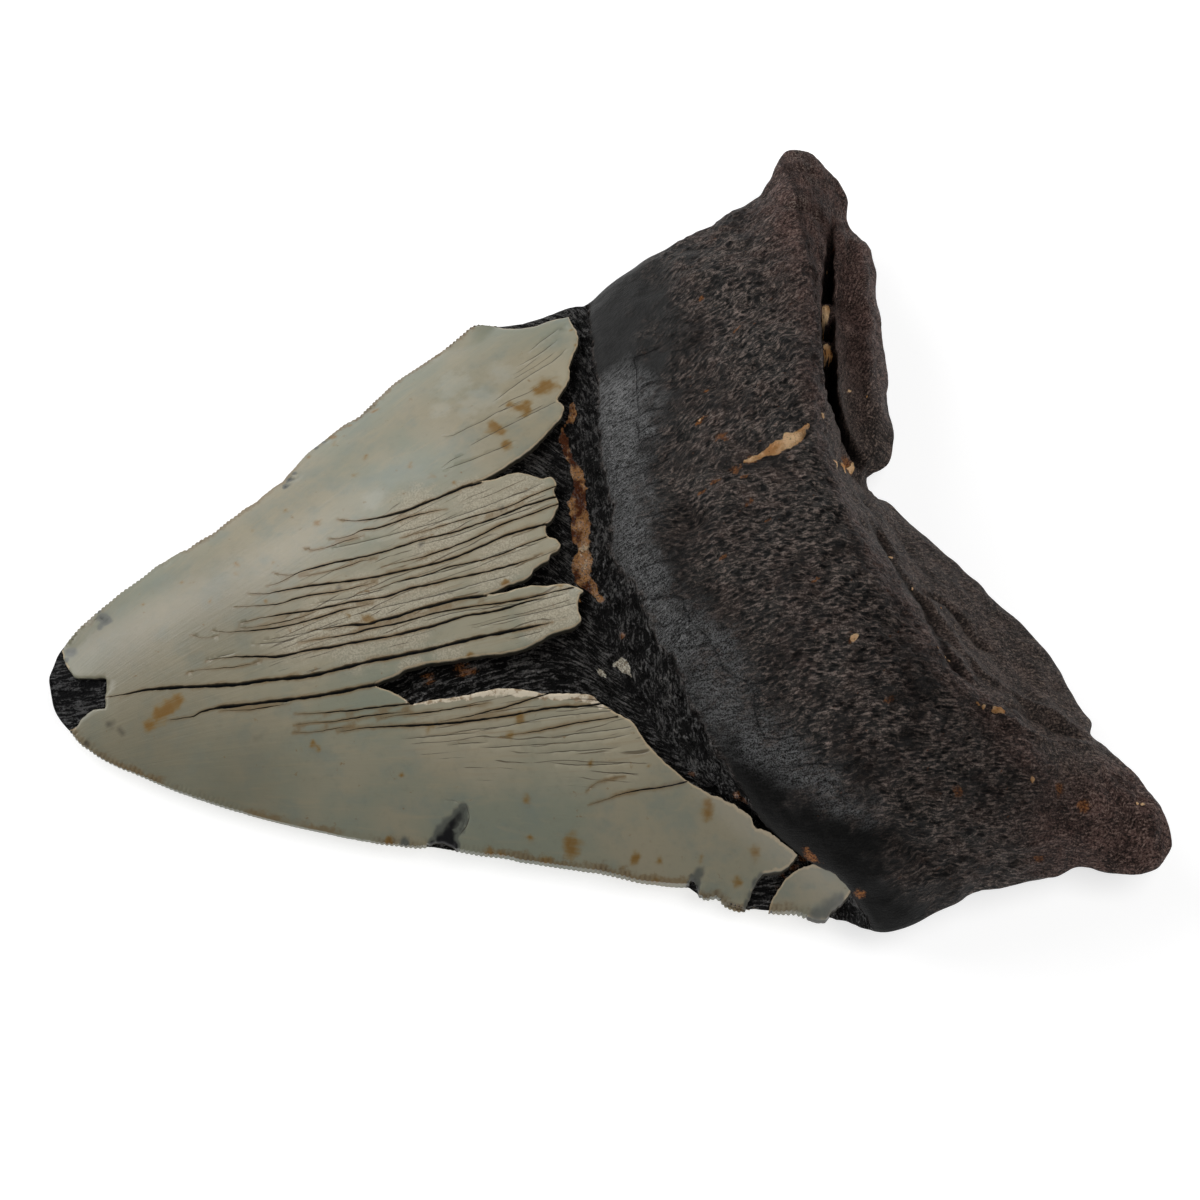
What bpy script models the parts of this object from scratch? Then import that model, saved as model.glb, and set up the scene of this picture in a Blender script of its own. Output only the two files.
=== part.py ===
"""A fossil megalodon tooth, one solid, lying on its labial face.

The tip points to -X and the root's two lobes to +X. A form is lofted through ribs that cross the
tooth from its near edge (-Y) to its far edge (+Y). Over the crown, enamel plates keep the form's
surface, and everything else is the dentine core, which lies a little below them.
"""

import bmesh
import bpy
import numpy as np
from mathutils import Vector, noise

MM = 0.001  # every size below is in millimetres

# Driving dimensions
ENAMEL = 1.2  # how far the enamel stands proud of the dentine
INSET = 2.6  # how far the dentine keeps back from the cutting edges
BASE_INSET = 1.4  # the same at the crown's base corners
EDGE_HEIGHT = 3.0  # height of the cutting edges above the labial face
EDGE_OVERLAP = 0.5  # how far the two enamel faces reach past each other at the cutting edge
EDGE_STEP = 0.3  # how far the labial enamel keeps back from the lingual cutting edge
CRACK = 0.5  # width of the long crack at its tip end
LABIAL_REACH = 2  # how many ribs further the enamel reaches on the labial face
CROWN_BELLY = -0.4  # labial control heights below zero leave worn flats to rest on
LOBE_BELLY = -0.9
LABIAL_SHOULDER = 1.0  # labial control height next to the outline, and beside the lobes' ends
LOBE_SHOULDER = 0.3
LOBE_HOLLOW = 1.6  # depth of the labial hollow between the root's lobes
RIM_LIFT = 1.0  # how much higher the labial face is beside the root's rim
ROUGHNESS = 0.7  # how far the root's surface wanders
ROUGH_SIZE = 6.5  # size of that wander

# The lengthwise grid: few rows under the enamel, more where the root's relief shows
CROWN_ROWS = 13
ROOT_ROWS = 30
COLUMNS = 38

# Where the stations of a rib lie, as shares of the way from the near edge to the far edge
ACROSS = (0, 0.05, 0.13, 0.22, 0.32, 0.43, 0.54, 0.65, 0.76, 0.87, 0.95, 1)
STATIONS = len(ACROSS)
HOLLOW_STATIONS = range(5, 9)  # between the root's lobes

ABOVE, BELOW = 30, -2  # heights clear of the crown, for the tools that cut the enamel


def blade(near, far, middle, fullness):
    """A crown rib: thin at both cutting edges, arched between them."""
    rib = []
    for across in ACROSS:
        off_centre = abs(2 * across - 1)
        rise = (middle - EDGE_HEIGHT) * (1 - off_centre**fullness)
        x = near[0] + (far[0] - near[0]) * across
        y = near[1] + (far[1] - near[1]) * across
        rib.append((x, y, EDGE_HEIGHT + rise))
    return rib


# Ribs of the lingual face, tip to root, each from the near edge to the far edge
RIBS = {
    "tip": [
        (-72, -8.5, 3), (-73, -7, 3.3), (-74, -5.5, 3.6), (-75, -3, 3.8), (-75, -1, 4),
        (-75, 1, 4), (-75, 2.5, 3.8), (-74, 4, 3.6), (-73.5, 5.5, 3.4), (-72, 7, 3.2),
        (-71, 8.5, 3.1), (-69.5, 9.5, 3),
    ],
    "blade_end": blade((-65.5, -15), (-65, 13.5), 7, 2.2),
    "blade_quarter": blade((-52, -24), (-51, 19.5), 10, 2.2),
    "blade_half": blade((-30, -33), (-31.5, 31), 13.5, 2.4),
    "blade_base": blade((-5, -42.5), (-11.5, 43.5), 16.5, 2.8),
    "enamel_line": [
        (20, -53.5, 4), (18, -49, 8), (13, -43, 11.5), (7, -37, 14.5), (1.5, -29.5, 16.5),
        (-3, -20.5, 17.5), (-4, -10, 18), (-4, 1, 17.5), (-2, 14, 15.5), (2, 28, 11.5),
        (5, 38.5, 8), (6, 43.5, 5),
    ],
    "bourlette_foot": [
        (23.5, -56, 5), (22, -53, 10), (17.5, -48.5, 14.5), (12.5, -42.5, 17.5), (7, -35, 20),
        (3.5, -24, 21.5), (2, -13, 22), (1.5, -1.5, 21), (3, 12.5, 18.5), (5.5, 26.5, 14),
        (7.5, 38, 10.5), (8.5, 43, 6.5),
    ],
    "bourlette_top": [
        (28.5, -57.5, 6), (27.5, -54, 13), (24.5, -48.5, 19), (21, -41.5, 22.5), (17.5, -33, 25),
        (14, -23, 26.5), (12, -12.5, 27), (12, -2, 26), (14, 10.5, 23.5), (16, 25.5, 19),
        (17, 41, 13.5), (17, 46.5, 8.5),
    ],
    "torus": [
        (36.5, -55, 7), (35.5, -52, 13.5), (33, -48, 20), (30.5, -41, 25), (28, -32.5, 28.5),
        (25, -22, 30), (23, -11.5, 30.5), (22, -1.5, 29.5), (22.5, 10.5, 26.5), (24, 26.5, 21.5),
        (25.5, 43.5, 15.5), (26, 49, 10),
    ],
    "brow": [
        (47.5, -55, 6.5), (46.5, -53, 12), (43.5, -49, 17), (40.5, -42, 22), (36.5, -33.5, 26.5),
        (33, -23, 29), (30, -12.5, 30), (28, -2.5, 29.5), (28, 7.5, 27.5), (31, 22.5, 24),
        (33.5, 44.5, 16.5), (34, 51, 10),
    ],
    "ridge": [
        (54, -53.5, 6), (54.5, -52, 10.5), (53, -48, 14.5), (50, -41, 18), (44, -34, 22),
        (38, -25, 25), (34.5, -14.5, 27), (31.5, -3.5, 27.5), (30.5, 5.5, 27), (36.5, 25.5, 24),
        (38.5, 50, 16.5), (38, 59, 10),
    ],
    "groove": [
        (59, -56, 6), (60, -54, 10), (59, -49, 13), (54, -42, 14), (51, -34, 13),
        (45.5, -23.5, 12), (41, -12, 12), (37, -1.5, 12), (34.5, 7.5, 13), (39.5, 28, 13),
        (42.5, 51.5, 14), (42, 60, 9.5),
    ],
    "rim_top": [
        (63, -55.5, 6), (63.5, -53, 9), (63, -48, 11), (58.5, -41, 11), (55, -33, 9),
        (51, -22.5, 9), (45.5, -9.5, 9), (40, 0.5, 9), (37.5, 8, 10), (43.5, 26, 10.5),
        (46, 46, 11), (45.5, 53.5, 9),
    ],
    "rim": [
        (65, -53, 6.5), (65.5, -50.5, 7.5), (64.5, -46.5, 8), (60.5, -40, 8), (59.5, -34.5, 5.5),
        (57, -22.5, 5), (49, -8, 5), (42, 1, 5), (42.5, 9.5, 5.5), (46.5, 28, 6),
        (48, 43, 6.5), (47, 50, 7),
    ],
}
FIRST_ROOT_RIB = list(RIBS).index("bourlette_foot")
FIRST_LOBE_RIB = list(RIBS).index("torus")
ENAMEL_LINE = FIRST_ROOT_RIB - 2.0  # the enamel line's place in the loft's lengthwise parameter

# Cutting edges and the enamel's outline on the lingual face, as (x, y)
NEAR_EDGE_BY_TIP = [
    (-73, -6), (-70, -10.5), (-65, -14), (-58, -19), (-50.5, -23.2), (-43.5, -26.8), (-36, -30),
    (-31, -31.9),
]
SCALLOP = [
    (-29.3, -32.4), (-28.5, -31), (-26.8, -29.8), (-25.2, -29.2), (-24.2, -28.4), (-23.9, -29.6),
    (-24.5, -31), (-25.7, -32.2), (-26.2, -33.6),
]
NEAR_EDGE_BY_ROOT = [
    (-21, -35.6), (-13.5, -38.5), (-8.5, -40.4), (-3.5, -42.6), (1, -44.4), (3.4, -46.1),
    (5.6, -47), (7.7, -49),
]
FAR_EDGE = [
    (-8, 43.4), (-11, 42.3), (-17.5, 39), (-23.5, 35.3), (-33, 29.9), (-43, 22.3), (-52, 17.8),
    (-60.5, 14.4), (-67, 11), (-70, 9.3), (-72, 6.7),
]
WORN_TIP = [
    (-72, 3.3), (-71.3, 1.6), (-69.4, 0.5), (-67.5, -0.2), (-67.4, -2), (-68, -4.4),
    (-70.8, -4.3), (-72, -5),
]
LOWER_PLATE = [
    (9, -49), (10, -47.6), (10.8, -46.7), (11.8, -46.1), (14.2, -46.6), (15.8, -46.4),
    (14.4, -44.6), (12.9, -43), (11.7, -41.9), (11, -40.7), (9.4, -38.9), (7, -36.5), (4.4, -33.8),
    (2.2, -31), (0.8, -28.8), (-0.2, -26.7), (-2.6, -23.3), (-5.3, -20.1), (-9, -18.7),
    (-13, -17.3), (-18, -16), (-23, -15.5), (-28.5, -15), (-28.7, -14.2), (-31.6, -12.3),
]
SECOND_CRACK = [(-41.8, -10.8), (-49.9, -9.8), (-41.8, -10.3)]
LOWER_MIDDLE_PLATE = [
    (-31.8, -11.3), (-28.4, -10.4), (-24.5, -10.5), (-19.5, -11), (-14.8, -11.6), (-11, -11.3),
    (-8.8, -10.6), (-5.4, -10.8), (-4.2, -8.7), (-3.7, -6.8), (-5.1, -4.9), (-7, -4.3),
    (-11.2, -3.5), (-17, -3.6), (-24.8, -4.1),
]
MIDDLE_PLATE = [
    (-36, -2.6), (-24.7, -3.2), (-17, -3), (-12.8, -2.3), (-9.7, -2), (-7.4, -1), (-5.2, 0.7),
    (-6.2, 3.2), (-5.4, 5.8), (-4.2, 7.1), (-3.8, 11), (-6.3, 12.3), (-9.9, 13.4), (-16, 12.8),
    (-22, 12),
]
UPPER_PLATE = [
    (-31.5, 13), (-22, 12.7), (-14, 14), (-8, 16), (-4.4, 18.2), (-0.5, 21.7), (0, 24.8),
    (2.2, 29.4), (3.8, 33.3), (4.4, 37.3), (4.1, 40.5), (0, 40.5), (-2.5, 40.8), (-6.1, 42.6),
]
MAIN_CRACK = [(-66.5, -3.1), (-60.7, -4), (-51.3, -6.2), (-42.8, -7), (-35.4, -8), (-22, -8.6)]
CORNER_ISLAND = [
    (11.8, -50.6), (13.6, -48.3), (14.8, -47.6), (17.1, -47.6), (19.3, -48.8), (21.8, -51.2),
    (20.5, -52.4), (16.7, -52.3),
]
LABIAL_ROOT_LINE = [
    (20.5, -52), (17, -45), (13, -36), (10.5, -24), (9, -10), (8, 4), (7, 18), (5.5, 30),
    (4, 41),
]

# Lumps and pits of the root's lingual face: x, y, radius, height
LUMPS = [
    (28, -36, 6, 1.0), (35, -44, 4, 0.8), (24, -16, 7, 0.6), (31, 18, 5, 0.9), (27, 36, 5, 0.8),
    (36, 47, 3.5, 1.2), (47, -45, 4, 0.9), (41, -29, 3.5, 0.7), (19.5, -50, 3, 0.4),
    (11.4, -2.8, 2.2, -0.8), (22, 5, 3.5, -0.5), (33, -8, 3, -0.6), (42, -38, 3, -0.7),
    (30, 28, 3, -0.6), (24, 44, 3, -0.5),
]
NOTCH = (40, 6.5)  # where the root's rim is nicked, between the lobes
NOTCH_DEPTH = 3.2
NOTCH_WIDTH = 2.2
NOTCH_REACH = 6


def bspline_weights(controls, places):
    """Weights of a clamped cubic B-spline's controls at places 0 to controls - 3."""
    degree = 3
    spans = controls - degree
    knots = np.concatenate([np.zeros(degree), np.arange(spans + 1), np.full(degree, spans)])
    places = np.clip(places, 0, spans - 1e-9)[:, None]
    weights = ((knots[:-1] <= places) & (places < knots[1:])).astype(float)
    for d in range(1, degree + 1):
        rising = knots[d:-1] - knots[: -d - 1]
        falling = knots[d + 1 :] - knots[1:-d]
        left = (places - knots[: -d - 1]) / np.where(rising > 0, rising, 1)
        right = (knots[d + 1 :] - places) / np.where(falling > 0, falling, 1)
        weights = left * weights[:, :-1] + right * weights[:, 1:]
    return weights


def loft(cage, rows, columns):
    """Points of the surface over a cage of ribs, at each row and column."""
    lengthwise = bspline_weights(cage.shape[0], rows)
    across = bspline_weights(cage.shape[1], columns)
    return np.einsum("ua,abk,vb->uvk", lengthwise, cage, across)


def labial_cage(lingual):
    """The cage of the flat labial face, which shares its outline with the lingual one."""
    cage = lingual.copy()
    last_rib = len(RIBS) - 1
    for rib in range(1, last_rib):
        for station in range(1, STATIONS - 1):
            by_outline = station in (1, STATIONS - 2)
            if rib < FIRST_LOBE_RIB:
                height = LABIAL_SHOULDER if by_outline else CROWN_BELLY
            else:
                height = LOBE_SHOULDER if by_outline else LOBE_BELLY
            if rib >= FIRST_ROOT_RIB and station in HOLLOW_STATIONS:
                height = LOBE_HOLLOW
            if rib == last_rib - 1:
                height += RIM_LIFT
            cage[rib, station, 2] = height
    return cage


def core_cage(cage, side):
    """The cage drawn in below the enamel: side is 1 for the lingual face, -1 for the labial."""
    core = cage.copy()
    sunk_ribs = FIRST_ROOT_RIB if side > 0 else FIRST_ROOT_RIB + LABIAL_REACH
    for rib in range(sunk_ribs):
        inset = INSET * min(1.0, rib / 2)
        if rib >= FIRST_ROOT_RIB - 1:
            inset = BASE_INSET if rib < FIRST_ROOT_RIB else 0
        depth = ENAMEL * min(1.0, 0.4 + rib / 2)
        along = cage[rib, -1, :2] - cage[rib, 0, :2]
        along /= np.hypot(*along)
        for station in range(STATIONS):
            core[rib, station, :2] += along * inset * (1 - 2 * ACROSS[station])
            if 0 < station < STATIONS - 1 and rib > 0:
                core[rib, station, 2] -= side * depth
    return core


def wander(place):
    """A smooth pseudo-random shift, the same each run, from three far-apart noise samples."""
    spot = place / ROUGH_SIZE
    offsets = (Vector((0, 0, 0)), Vector((31, 17, 5)), Vector((7, 43, 29)))
    return np.array([noise.fractal(spot + offset, 0.9, 2.1, 2) for offset in offsets])


def weathered(points, rows, columns, side):
    """The root's lumps, pits and nicked rim, faded out towards the crown."""
    root = np.clip((rows - ENAMEL_LINE - 0.5) / 2, 0, 1)
    from_rim = np.clip(rows[-1] - rows, 0, 1)
    from_side = np.clip(np.minimum(columns, columns[-1] - columns), 0, 1)
    worn = points.copy()
    for i, j in np.ndindex(points.shape[:2]):
        here = Vector(points[i, j])
        worn[i, j] += wander(here) * ROUGHNESS * root[i]
        x, y = here.xy
        nick = np.exp(-(((y - NOTCH[1]) / NOTCH_WIDTH) ** 2))
        nick *= np.clip(1 + (x - NOTCH[0]) / NOTCH_REACH, 0, 1)
        worn[i, j, 0] -= NOTCH_DEPTH * nick * root[i]
        if side > 0:
            inner = from_rim[i] * from_side[j]
            for lump_x, lump_y, radius, height in LUMPS:
                near = np.exp(-((x - lump_x) ** 2 + (y - lump_y) ** 2) / radius**2)
                worn[i, j, 2] += height * near * inner
    worn[:, :, 2] = np.maximum(worn[:, :, 2], 0)
    return worn


def add_sheet(bm, points, facing):
    """A grid primitive with its corners moved onto the points; facing 1 looks up, -1 down."""
    rows, columns = points.shape[:2]
    grid = bmesh.ops.create_grid(bm, x_segments=rows - 1, y_segments=columns - 1, size=1)
    for vertex in grid["verts"]:
        i = round((vertex.co.x + 1) / 2 * (rows - 1))
        j = round((vertex.co.y + 1) / 2 * (columns - 1))
        vertex.co = Vector(points[i, j]) * MM
    if facing < 0:
        faces = {face for vertex in grid["verts"] for face in vertex.link_faces}
        bmesh.ops.reverse_faces(bm, faces=list(faces))


def lofted_solid(name, lingual, labial, rows, columns):
    """A closed solid of a lingual and a labial sheet that share their outline."""
    bm = bmesh.new()
    for cage, side in ((lingual, 1), (labial, -1)):
        points = loft(cage, rows, columns)
        add_sheet(bm, weathered(points, rows, columns, side), side)
    bmesh.ops.remove_doubles(bm, verts=bm.verts, dist=1e-7)
    mesh = bpy.data.meshes.new(name)
    bm.to_mesh(mesh)
    bm.free()
    return bpy.data.objects.new(name, mesh)


def prism(name, outlines, low, high):
    """Flat outlines extruded from low to high; an outline inside another is a hole in it."""
    curve = bpy.data.curves.new(name, "CURVE")
    curve.dimensions = "2D"
    curve.fill_mode = "BOTH"
    curve.extrude = (high - low) / 2 * MM
    for outline in outlines:
        spline = curve.splines.new("POLY")
        spline.points.add(len(outline) - 1)
        for point, (x, y) in zip(spline.points, outline):
            point.co = (x * MM, y * MM, 0, 1)
        spline.use_cyclic_u = True
    drawn = bpy.data.objects.new(name + "_outline", curve)
    bpy.context.scene.collection.objects.link(drawn)
    bpy.context.view_layer.update()
    mesh = bpy.data.meshes.new_from_object(drawn.evaluated_get(bpy.context.evaluated_depsgraph_get()))
    bpy.data.objects.remove(drawn)
    bm = bmesh.new()
    bm.from_mesh(mesh)
    bmesh.ops.remove_doubles(bm, verts=bm.verts, dist=1e-7)
    bmesh.ops.recalc_face_normals(bm, faces=bm.faces)
    bm.to_mesh(mesh)
    bm.free()
    cutter = bpy.data.objects.new(name, mesh)
    cutter.location.z = (low + high) / 2 * MM
    return cutter


def crack_outline(middle, start_width, end_width):
    """A long thin outline around a crack's middle line."""
    upper, lower = [], []
    for k, (x, y) in enumerate(middle):
        share = k / (len(middle) - 1)
        half = (start_width + (end_width - start_width) * share) / 2
        upper.append((x, y + half))
        lower.append((x, y - half))
    return upper + lower[::-1]


def drawn_in(outline, distance):
    """Edge points moved towards the tooth's middle line."""
    return [(x, y - np.sign(y) * distance) for x, y in outline]


def boolean(target, operation, tool):
    modifier = target.modifiers.new(operation.lower() + "_" + tool.name, "BOOLEAN")
    modifier.operation = operation
    modifier.solver = "EXACT"
    modifier.material_mode = "TRANSFER"
    modifier.object = tool


def material(name, colour, roughness):
    made = bpy.data.materials.new(name)
    made.use_nodes = True
    shader = made.node_tree.nodes["Principled BSDF"]
    shader.inputs["Base Color"].default_value = (*colour, 1)
    shader.inputs["Roughness"].default_value = roughness
    shader.inputs["Metallic"].default_value = 0
    return made


def enamel_zone():
    """The space that enamel fills: the broken lingual plates, and the whole labial face."""
    lingual_outline = (
        NEAR_EDGE_BY_TIP + SCALLOP + NEAR_EDGE_BY_ROOT + LOWER_PLATE + SECOND_CRACK
        + LOWER_MIDDLE_PLATE + MIDDLE_PLATE + UPPER_PLATE + FAR_EDGE + WORN_TIP
    )
    main_crack = crack_outline(MAIN_CRACK, CRACK, 2 * CRACK)
    lingual = prism(
        "lingual_enamel", [lingual_outline, main_crack, CORNER_ISLAND], EDGE_HEIGHT - EDGE_OVERLAP, ABOVE
    )
    near_edge = NEAR_EDGE_BY_TIP + NEAR_EDGE_BY_ROOT
    labial_outline = (
        drawn_in(near_edge, EDGE_STEP) + LABIAL_ROOT_LINE + drawn_in(FAR_EDGE, EDGE_STEP)
    )
    labial = prism("labial_enamel", [labial_outline], BELOW, EDGE_HEIGHT + EDGE_OVERLAP)
    boolean(lingual, "UNION", labial)
    return lingual, labial


def stand_at_origin(objects, measured):
    """Move the objects so that the measured one's box stands centred over the origin."""
    corners = np.array([vertex.co for vertex in measured.data.vertices])
    low, high = corners.min(axis=0), corners.max(axis=0)
    shift = Vector((-(low[0] + high[0]) / 2, -(low[1] + high[1]) / 2, -low[2]))
    for moved in objects:
        moved.location += shift


def main():
    for leftover in list(bpy.data.objects):
        bpy.data.objects.remove(leftover)
    parts = bpy.data.collections.new("megalodon_tooth")
    cutters = bpy.data.collections.new("cutters")
    for collection in (parts, cutters):
        bpy.context.scene.collection.children.link(collection)

    lingual = np.array(list(RIBS.values()), float)
    labial = labial_cage(lingual)
    spans = len(RIBS) - 3
    crown = np.linspace(0, ENAMEL_LINE, CROWN_ROWS, endpoint=False)
    root = np.linspace(ENAMEL_LINE, spans, ROOT_ROWS)
    rows = np.concatenate([crown, root])
    columns = np.linspace(0, STATIONS - 3, COLUMNS)

    tooth = lofted_solid("tooth", lingual, labial, rows, columns)
    core = lofted_solid("dentine_core", core_cage(lingual, 1), core_cage(labial, -1), rows, columns)
    tooth.data.materials.append(material("enamel", (0.26, 0.24, 0.18), 0.35))
    core.data.materials.append(material("dentine", (0.018, 0.016, 0.015), 0.6))
    plates, labial_plate = enamel_zone()
    boolean(tooth, "INTERSECT", plates)
    boolean(tooth, "UNION", core)

    stand_at_origin([tooth, core, plates, labial_plate], core)

    parts.objects.link(tooth)
    for cutter in (core, plates, labial_plate):
        cutters.objects.link(cutter)
        cutter.hide_render = True
        cutter.display_type = "WIRE"
    tooth.data.shade_smooth()


main()
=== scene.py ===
"""Looks of a fossil megalodon tooth that lies on its labial face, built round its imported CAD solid.

Shapes are drawn in millimetres in a drawing frame: the tip points to -X, the root's lobes to +X, the
far edge to +Y, and the labial face lies on z = 0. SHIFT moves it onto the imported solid. Features that
only the photograph fixes, such as cracks and broken edges, are named positions in its 1200 x 1200
pixels, cast through the camera onto the tooth's surface.
"""

import math

import bpy
import numpy as np
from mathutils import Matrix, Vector, noise
from mathutils.bvhtree import BVHTree
from mathutils.geometry import delaunay_2d_cdt
from mathutils.kdtree import KDTree


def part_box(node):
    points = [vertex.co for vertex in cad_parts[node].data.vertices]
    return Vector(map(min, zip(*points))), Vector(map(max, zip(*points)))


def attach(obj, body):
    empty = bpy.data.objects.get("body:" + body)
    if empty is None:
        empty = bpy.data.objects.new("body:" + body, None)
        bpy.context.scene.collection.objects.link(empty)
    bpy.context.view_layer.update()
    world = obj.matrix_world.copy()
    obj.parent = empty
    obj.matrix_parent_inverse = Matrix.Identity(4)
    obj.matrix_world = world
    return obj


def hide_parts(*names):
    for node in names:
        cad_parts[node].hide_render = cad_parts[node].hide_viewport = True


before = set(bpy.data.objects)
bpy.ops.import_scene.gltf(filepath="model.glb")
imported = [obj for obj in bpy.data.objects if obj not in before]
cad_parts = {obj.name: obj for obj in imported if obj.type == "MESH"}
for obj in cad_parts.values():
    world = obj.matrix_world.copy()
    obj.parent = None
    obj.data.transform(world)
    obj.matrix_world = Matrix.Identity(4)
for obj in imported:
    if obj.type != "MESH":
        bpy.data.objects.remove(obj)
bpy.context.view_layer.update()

MM = 0.001

# The camera, which stands as the photograph's did
AZIMUTH = math.radians(-12)
ELEVATION = math.radians(65)
DISTANCE = 500.0
LENS, SENSOR = 110.0, 36.0
HALF_PICTURE = 600.0
PIXEL = 0.136  # millimetres to a pixel at the tooth's middle

# ---------------------------------------------------------------- the tooth's form, as the solid has it
ENAMEL = 1.2
EDGE_HEIGHT = 3.0
CROWN_BELLY, LOBE_BELLY = -0.4, -0.9
LABIAL_SHOULDER, LOBE_SHOULDER = 1.0, 0.3
LOBE_HOLLOW = 1.6
RIM_LIFT = 1.0
LABIAL_REACH = 2
ROUGHNESS, ROUGH_SIZE = 0.7, 6.5
SOLID_INSET, SOLID_BASE_INSET = 2.6, 1.4
SOLID_CROWN_ROWS, SOLID_ROOT_ROWS, SOLID_COLUMNS = 13, 30, 38
INSET = 0.6

ACROSS = (0, 0.05, 0.13, 0.22, 0.32, 0.43, 0.54, 0.65, 0.76, 0.87, 0.95, 1)
STATIONS = len(ACROSS)
HOLLOW_STATIONS = range(5, 9)


def blade(near, far, middle, fullness):
    """A crown rib: thin at both cutting edges, arched between them."""
    rib = []
    for across in ACROSS:
        rise = (middle - EDGE_HEIGHT) * (1 - abs(2 * across - 1) ** fullness)
        x, y = (a + (b - a) * across for a, b in zip(near, far))
        rib.append((x, y, EDGE_HEIGHT + rise))
    return rib


RIBS = {
    "tip": [
        (-72, -8.5, 3), (-73, -7, 3.3), (-74, -5.5, 3.6), (-75, -3, 3.8), (-75, -1, 4),
        (-75, 1, 4), (-75, 2.5, 3.8), (-74, 4, 3.6), (-73.5, 5.5, 3.4), (-72, 7, 3.2),
        (-71, 8.5, 3.1), (-69.5, 9.5, 3),
    ],
    "blade_end": blade((-65.5, -15), (-65, 13.5), 7, 2.2),
    "blade_quarter": blade((-52, -24), (-51, 19.5), 10, 2.2),
    "blade_half": blade((-30, -33), (-31.5, 31), 13.5, 2.4),
    "blade_base": blade((-5, -42.5), (-11.5, 43.5), 16.5, 2.8),
    "enamel_line": [
        (20, -53.5, 4), (18, -49, 8), (13, -43, 11.5), (7, -37, 14.5), (1.5, -29.5, 16.5),
        (-3, -20.5, 17.5), (-4, -10, 18), (-4, 1, 17.5), (-2, 14, 15.5), (2, 28, 11.5),
        (5, 38.5, 8), (6, 43.5, 5),
    ],
    "bourlette_foot": [
        (23.5, -56, 5), (22, -53, 10), (17.5, -48.5, 14.5), (12.5, -42.5, 17.5), (7, -35, 20),
        (3.5, -24, 21.5), (2, -13, 22), (1.5, -1.5, 21), (3, 12.5, 18.5), (5.5, 26.5, 14),
        (7.5, 38, 10.5), (8.5, 43, 6.5),
    ],
    "bourlette_top": [
        (28.5, -57.5, 6), (27.5, -54, 13), (24.5, -48.5, 19), (21, -41.5, 22.5), (17.5, -33, 25),
        (14, -23, 26.5), (12, -12.5, 27), (12, -2, 26), (14, 10.5, 23.5), (16, 25.5, 19),
        (17, 41, 13.5), (17, 46.5, 8.5),
    ],
    "torus": [
        (36.5, -55, 7), (35.5, -52, 13.5), (33, -48, 20), (30.5, -41, 25), (28, -32.5, 28.5),
        (25, -22, 30), (23, -11.5, 30.5), (22, -1.5, 29.5), (22.5, 10.5, 26.5), (24, 26.5, 21.5),
        (25.5, 43.5, 15.5), (26, 49, 10),
    ],
    "brow": [
        (47.5, -55, 6.5), (46.5, -53, 12), (43.5, -49, 17), (40.5, -42, 22), (36.5, -33.5, 26.5),
        (33, -23, 29), (30, -12.5, 30), (28, -2.5, 29.5), (28, 7.5, 27.5), (31, 22.5, 24),
        (33.5, 44.5, 16.5), (34, 51, 10),
    ],
    "ridge": [
        (54, -53.5, 6), (54.5, -52, 10.5), (53, -48, 14.5), (50, -41, 18), (44, -34, 22),
        (38, -25, 25), (34.5, -14.5, 27), (31.5, -3.5, 27.5), (30.5, 5.5, 27), (36.5, 25.5, 24),
        (38.5, 50, 16.5), (38, 59, 10),
    ],
    "groove": [
        (59, -56, 6), (60, -54, 10), (59, -49, 13), (54, -42, 14), (51, -34, 13),
        (45.5, -23.5, 12), (41, -12, 12), (37, -1.5, 12), (34.5, 7.5, 13), (39.5, 28, 13),
        (42.5, 51.5, 14), (42, 60, 9.5),
    ],
    "rim_top": [
        (63, -55.5, 6), (63.5, -53, 9), (63, -48, 11), (58.5, -41, 11), (55, -33, 9),
        (51, -22.5, 9), (45.5, -9.5, 9), (40, 0.5, 9), (37.5, 8, 10), (43.5, 26, 10.5),
        (46, 46, 11), (45.5, 53.5, 9),
    ],
    "rim": [
        (65, -53, 6.5), (65.5, -50.5, 7.5), (64.5, -46.5, 8), (60.5, -40, 8), (59.5, -34.5, 5.5),
        (57, -22.5, 5), (49, -8, 5), (42, 1, 5), (42.5, 9.5, 5.5), (46.5, 28, 6),
        (48, 43, 6.5), (47, 50, 7),
    ],
}
FIRST_ROOT_RIB = list(RIBS).index("bourlette_foot")
FIRST_LOBE_RIB = list(RIBS).index("torus")
ENAMEL_LINE = FIRST_ROOT_RIB - 2.0

LABIAL_ROOT_LINE = [
    (20.5, -52), (17, -45), (13, -36), (10.5, -24), (9, -10), (8, 4), (7, 18), (5.5, 30), (4, 41),
]
LUMPS = [
    (28, -36, 6, 1.0), (35, -44, 4, 0.8), (24, -16, 7, 0.6), (31, 18, 5, 0.9), (27, 36, 5, 0.8),
    (36, 47, 3.5, 1.2), (47, -45, 4, 0.9), (41, -29, 3.5, 0.7), (19.5, -50, 3, 0.4),
    (11.4, -2.8, 2.2, -0.8), (22, 5, 3.5, -0.5), (33, -8, 3, -0.6), (42, -38, 3, -0.7),
    (30, 28, 3, -0.6), (24, 44, 3, -0.5),
]
NOTCH, NOTCH_DEPTH, NOTCH_WIDTH, NOTCH_REACH = (40, 6.5), 3.2, 2.2, 6


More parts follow.
